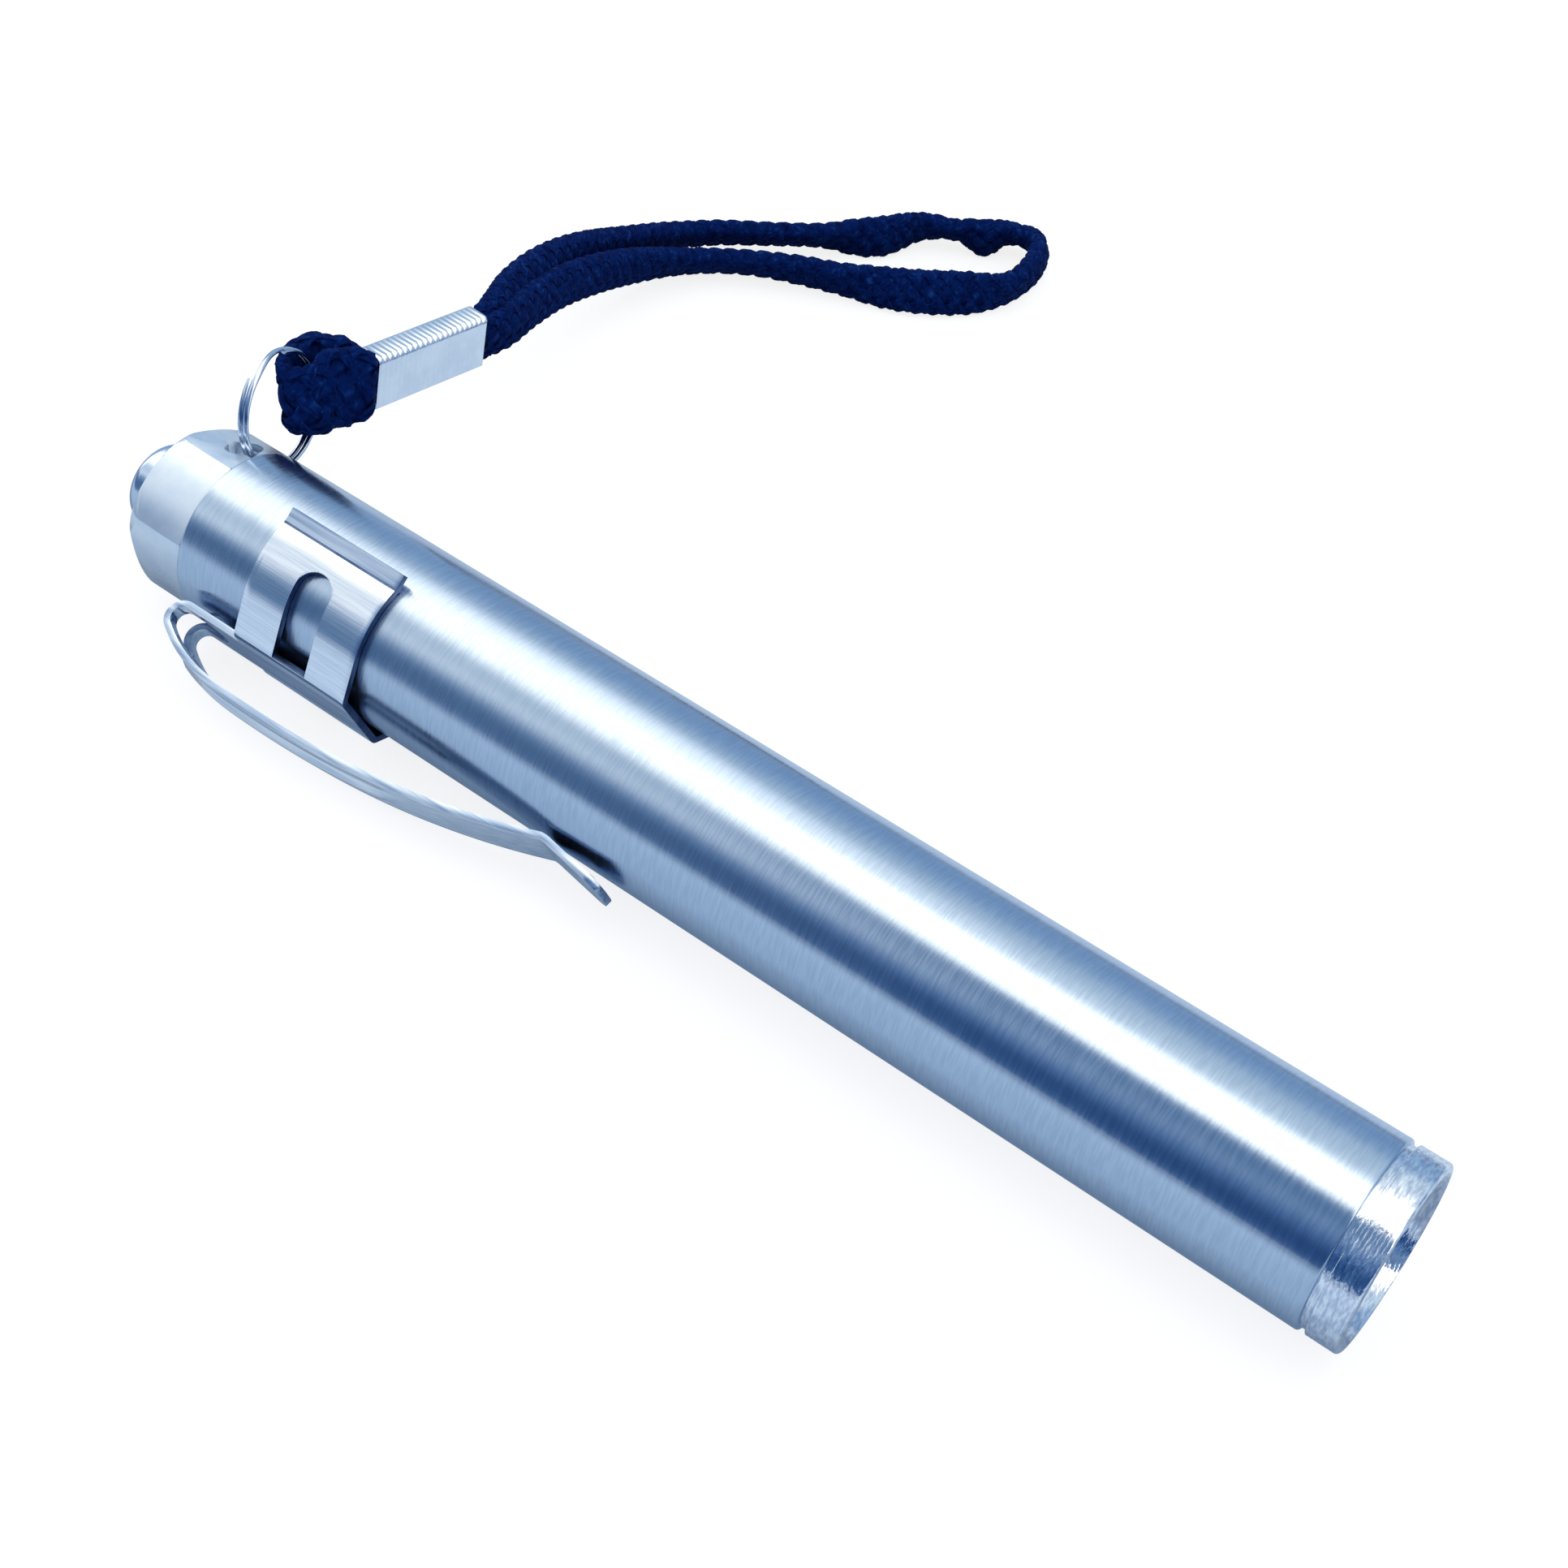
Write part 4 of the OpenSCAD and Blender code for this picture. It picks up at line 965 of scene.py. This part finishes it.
LOOP_ROUTE = [
    (-48.64, 17.7, 4.45, 3.2, 0.7, 0), (-48.64, 15.7, 4.73, 3.2, 0.7, 0), (-48.72, 14.95, 4.84, 3.1, 0.75, 0),
    (-49.35, 14, 5.2, 5.5, 1.5, -4), (-50.0, 13.1, 5.45, 6.2, 1.3, -8), (-50.9, 12, 5.55, 6.2, 1.0, -11),
    (-51.1, 10.8, 5.4, 5.6, 1.0, -11), (-50.8, 9.7, 5.3, 5.4, 1.1, -8), (-49.85, 9, 5.3, 5.3, 1.4, 0),
    (-48.7, 9.6, 5.3, 5.4, 1.5, 8), (-48.35, 10.8, 5.4, 5.6, 1.5, 11), (-48.25, 12, 5.55, 6.2, 1.5, 11),
    (-47.7, 13.1, 5.45, 6.2, 1.6, 8), (-47.3, 14, 5.2, 5.5, 1.5, 4), (-47.72, 14.95, 4.84, 3.1, 0.75, 0),
    (-47.8, 15.7, 4.73, 3.2, 0.7, 0), (-47.8, 17.7, 4.45, 3.2, 0.7, 0)]
YARNS = 6
BRAID_PITCH = 9.2
YARN_WIDE, YARN_THICK, WEAVE = 0.62, 0.26, 0.16
STATION_GAP = 0.17
CORE_SIDES, YARN_SIDES = 16, 6


def smooth_route(route, steps):
    """Points of one smooth curve through the route's points, with width, thickness and lean carried along."""
    def mix(a, b, c, d, u):
        square, cube = 2 * a - 5 * b + 4 * c - d, 3 * b - a - 3 * c + d
        return 0.5 * (2 * b + (c - a) * u + square * u ** 2 + cube * u ** 3)
    last = len(route) - 1
    rows = []
    for i in range(last):
        four = [route[max(i - 1, 0)], route[i], route[i + 1], route[min(i + 2, last)]]
        rows += [tuple(mix(*(p[k] for p in four), j / steps) for k in range(6)) for j in range(steps)]
    return rows + [route[last]]


def even_stations(route, spacing):
    """Even stations along a route: middle, directions of width and thickness, half sizes and distance."""
    fine = smooth_route(route, 40)
    at = [Vector(p[:3]) for p in fine]
    far = [0.0]
    for a, b in zip(at, at[1:]):
        far.append(far[-1] + (b - a).length)
    count = round(far[-1] / spacing)
    stations, k = [], 0
    for i in range(count + 1):
        want = far[-1] * i / count
        while k < len(far) - 2 and far[k + 1] < want:
            k += 1
        u = (want - far[k]) / max(1e-9, far[k + 1] - far[k])
        row = [a + (b - a) * u for a, b in zip(fine[k], fine[k + 1])]
        along = (at[min(k + 2, len(at) - 1)] - at[max(k - 1, 0)]).normalized()
        side = Vector((0, 0, 1)).cross(along).normalized()
        up = along.cross(side)
        lean = math.radians(row[5])
        wide = math.cos(lean) * up + math.sin(lean) * side
        thin = math.cos(lean) * side - math.sin(lean) * up
        stations.append((Vector(row[:3]), wide, thin, row[3] / 2, row[4] / 2, want))
    return stations


def tube_rings(rings):
    """Points and faces of a closed tube over rings with the same count of points."""
    sides = len(rings[0])
    points = [p for ring in rings for p in ring]
    faces = wrapped_faces(len(rings) - 1, sides)
    last = (len(rings) - 1) * sides
    return points, faces + [tuple(range(sides - 1, -1, -1)), tuple(range(last, last + sides))]


def on_section(station, inset, angle):
    """A point at an angle on a station's flat section, set in from the braid's face."""
    at, wide, thin, half_w, half_t, _ = station
    flat = math.copysign(abs(math.cos(angle)) ** 0.8, math.cos(angle))
    return at + wide * (half_w - inset) * flat + thin * (half_t - inset) * math.sin(angle)


def fullness(station):
    """Share of its full thickness that a yarn keeps where the strap is pressed thin."""
    return min(1.0, station[4] / 0.8)


def yarn(stations, way, start):
    """Rings of one yarn that winds one way round the braid, over and under the yarns of the other way."""
    turn_rate = 2 * math.pi / BRAID_PITCH
    line, out_way = [], []
    for s in stations:
        angle = way * turn_rate * s[5] + start
        lift = way * WEAVE * math.cos(YARNS * turn_rate * s[5])
        line.append(on_section(s, (0.24 - lift) * fullness(s), angle))
        out_way.append((on_section(s, -0.06, angle) - on_section(s, 0.24, angle)).normalized())
    rings, marks = [], []
    for i, here in enumerate(line):
        along = (line[min(i + 1, len(line) - 1)] - line[max(i - 1, 0)]).normalized()
        out = (out_way[i] - along * out_way[i].dot(along)).normalized()
        across = along.cross(out)
        thick = YARN_THICK * fullness(stations[i])
        rings.append([here + across * YARN_WIDE * math.cos(a) + out * thick * math.sin(a)
                      for a in (2 * math.pi * j / YARN_SIDES for j in range(YARN_SIDES))])
        marks += [(j / YARN_SIDES, stations[i][5]) for j in range(YARN_SIDES)]
    return rings, marks


def braid(name, route):
    """Flat braid along a route: a dark core, and yarns that cross over and under each other round it."""
    points, faces, along_uv = [], [], []

    def add(rings, marks):
        more, skin = tube_rings(rings)
        base = len(points)
        points.extend(more)
        faces.extend(tuple(base + v for v in f) for f in skin)
        along_uv.extend(marks)

    stations = even_stations(route, STATION_GAP)
    core = stations[::2]
    add([[on_section(s, 0.3, 2 * math.pi * j / CORE_SIDES) for j in range(CORE_SIDES)] for s in core],
        [(j / CORE_SIDES, s[5]) for s in core for j in range(CORE_SIDES)])
    for way in (1, -1):
        for k in range(YARNS):
            add(*yarn(stations, way, 2 * math.pi * k / YARNS))
    piece = new_piece(name, points, faces)
    uv = piece.data.uv_layers.new(name="UVMap")
    for loop in piece.data.loops:
        uv.data[loop.index].uv = along_uv[loop.vertex_index]
    smooth(piece, 80)
    return piece, [tuple(s[0] * MM) for s in stations], stations[-1][5]


def make_strap(materials):
    wrist, path, length = braid("wrist_braid", WRIST_ROUTE)
    place(wrist, "ring", materials["braid"], "strap_cord", "wrist_loop")
    loop = braid("ring_braid", LOOP_ROUTE)[0]
    place(loop, "ring", materials["braid"], "strap_cord", "ring_loop")
    sleeve = make_ferrule(materials)
    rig.cord(wrist, exit=path[0], length=length * MM, diameter=3.6 * MM, far_end="object", stiffness="limp",
            lay="loose", path=path, with_pieces=[loop, sleeve])


FERRULE = (12.1, 2.4, 4.5)
FERRULE_NEAR = (TAIL - 2.57, 15.17, 4.85)
FERRULE_DIP = math.radians(8)
FERRULE_WALL = 0.35
FERRULE_CORNER, CORNER_STEPS, FERRULE_ROWS = 0.45, 5, 110
CRIMP_PITCH, CRIMP_DEPTH = 0.55, 0.05
END_HOLLOW, HOLLOW_RUN = 0.4, 2.0


def make_ferrule(materials):
    """Flat sleeve folded from strip: open ends, the far one hollowed, and crimp marks on its upper edge."""
    length, thick, tall = FERRULE
    loop = []
    for sx, sz, start in ((1, 1, 0), (-1, 1, 90), (-1, -1, 180), (1, -1, 270)):
        middle = (sx * (thick / 2 - FERRULE_CORNER), sz * (tall / 2 - FERRULE_CORNER))
        loop += arc(middle, FERRULE_CORNER, start, start + 90, CORNER_STEPS)
    turn = Matrix.Rotation(math.radians(90), 4, "Z") @ Matrix.Rotation(FERRULE_DIP, 4, "Y")
    base = Vector(FERRULE_NEAR)
    points = []
    for i in range(FERRULE_ROWS + 1):
        far = length * i / FERRULE_ROWS
        end_share = ease((far - length + HOLLOW_RUN) / HOLLOW_RUN)
        for y, z in loop:
            crimped = z > tall / 2 - 0.5 and y < -0.2
            crimp = CRIMP_DEPTH * (1 + math.cos(2 * math.pi * far / CRIMP_PITCH)) if crimped else 0.0
            hollow = END_HOLLOW * (1 - (2 * z / tall) ** 2) * end_share
            points.append(base + turn @ Vector((far - hollow, y + crimp, z - crimp)))
    row = len(loop)
    sleeve = new_piece("strap_ferrule", points, wrapped_faces(FERRULE_ROWS, row))
    # A painted shadow line, also the real fold edge, runs along the faces under the crimps in the dim material.
    for finish in ("plated", "dim_tone_shade"):
        sleeve.data.materials.append(materials[finish])
    fold_shade_column = 2 * CORNER_STEPS
    for i in range(FERRULE_ROWS):
        sleeve.data.polygons[i * row + fold_shade_column].material_index = 1
    merge(sleeve, 0.0001)
    modify(sleeve, "SOLIDIFY", thickness=FERRULE_WALL * MM, offset=-1.0)
    modify(sleeve, "BEVEL", width=0.06 * MM, segments=2, limit_method="ANGLE", angle_limit=math.radians(60))
    smooth(sleeve, 30)
    place(sleeve, "ring", None, "ferrule_metal", "ferrule")
    return sleeve


# The whole light

make_camera()
materials = make_materials()
make_strap(materials)
make_floor()
make_world()
make_lamp("overhead", (0.0, -0.02, 0.5), (0, 0, 0), (0.35, 0.2), 0.26)
dress_cad_nodes(materials)
make_barrel(materials)
make_bezel(materials)
make_window(materials)
make_reflector(materials)
make_button(materials)
make_button_spring(materials)
make_cap(materials)
make_clip(materials)
make_ring(materials)

bpy.context.scene.view_settings.view_transform = "Standard"
with open("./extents.json", "w") as out:
    json.dump({"cad": [list(c) for c in cad_box], "visual": [list(c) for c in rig.bounds()]}, out)
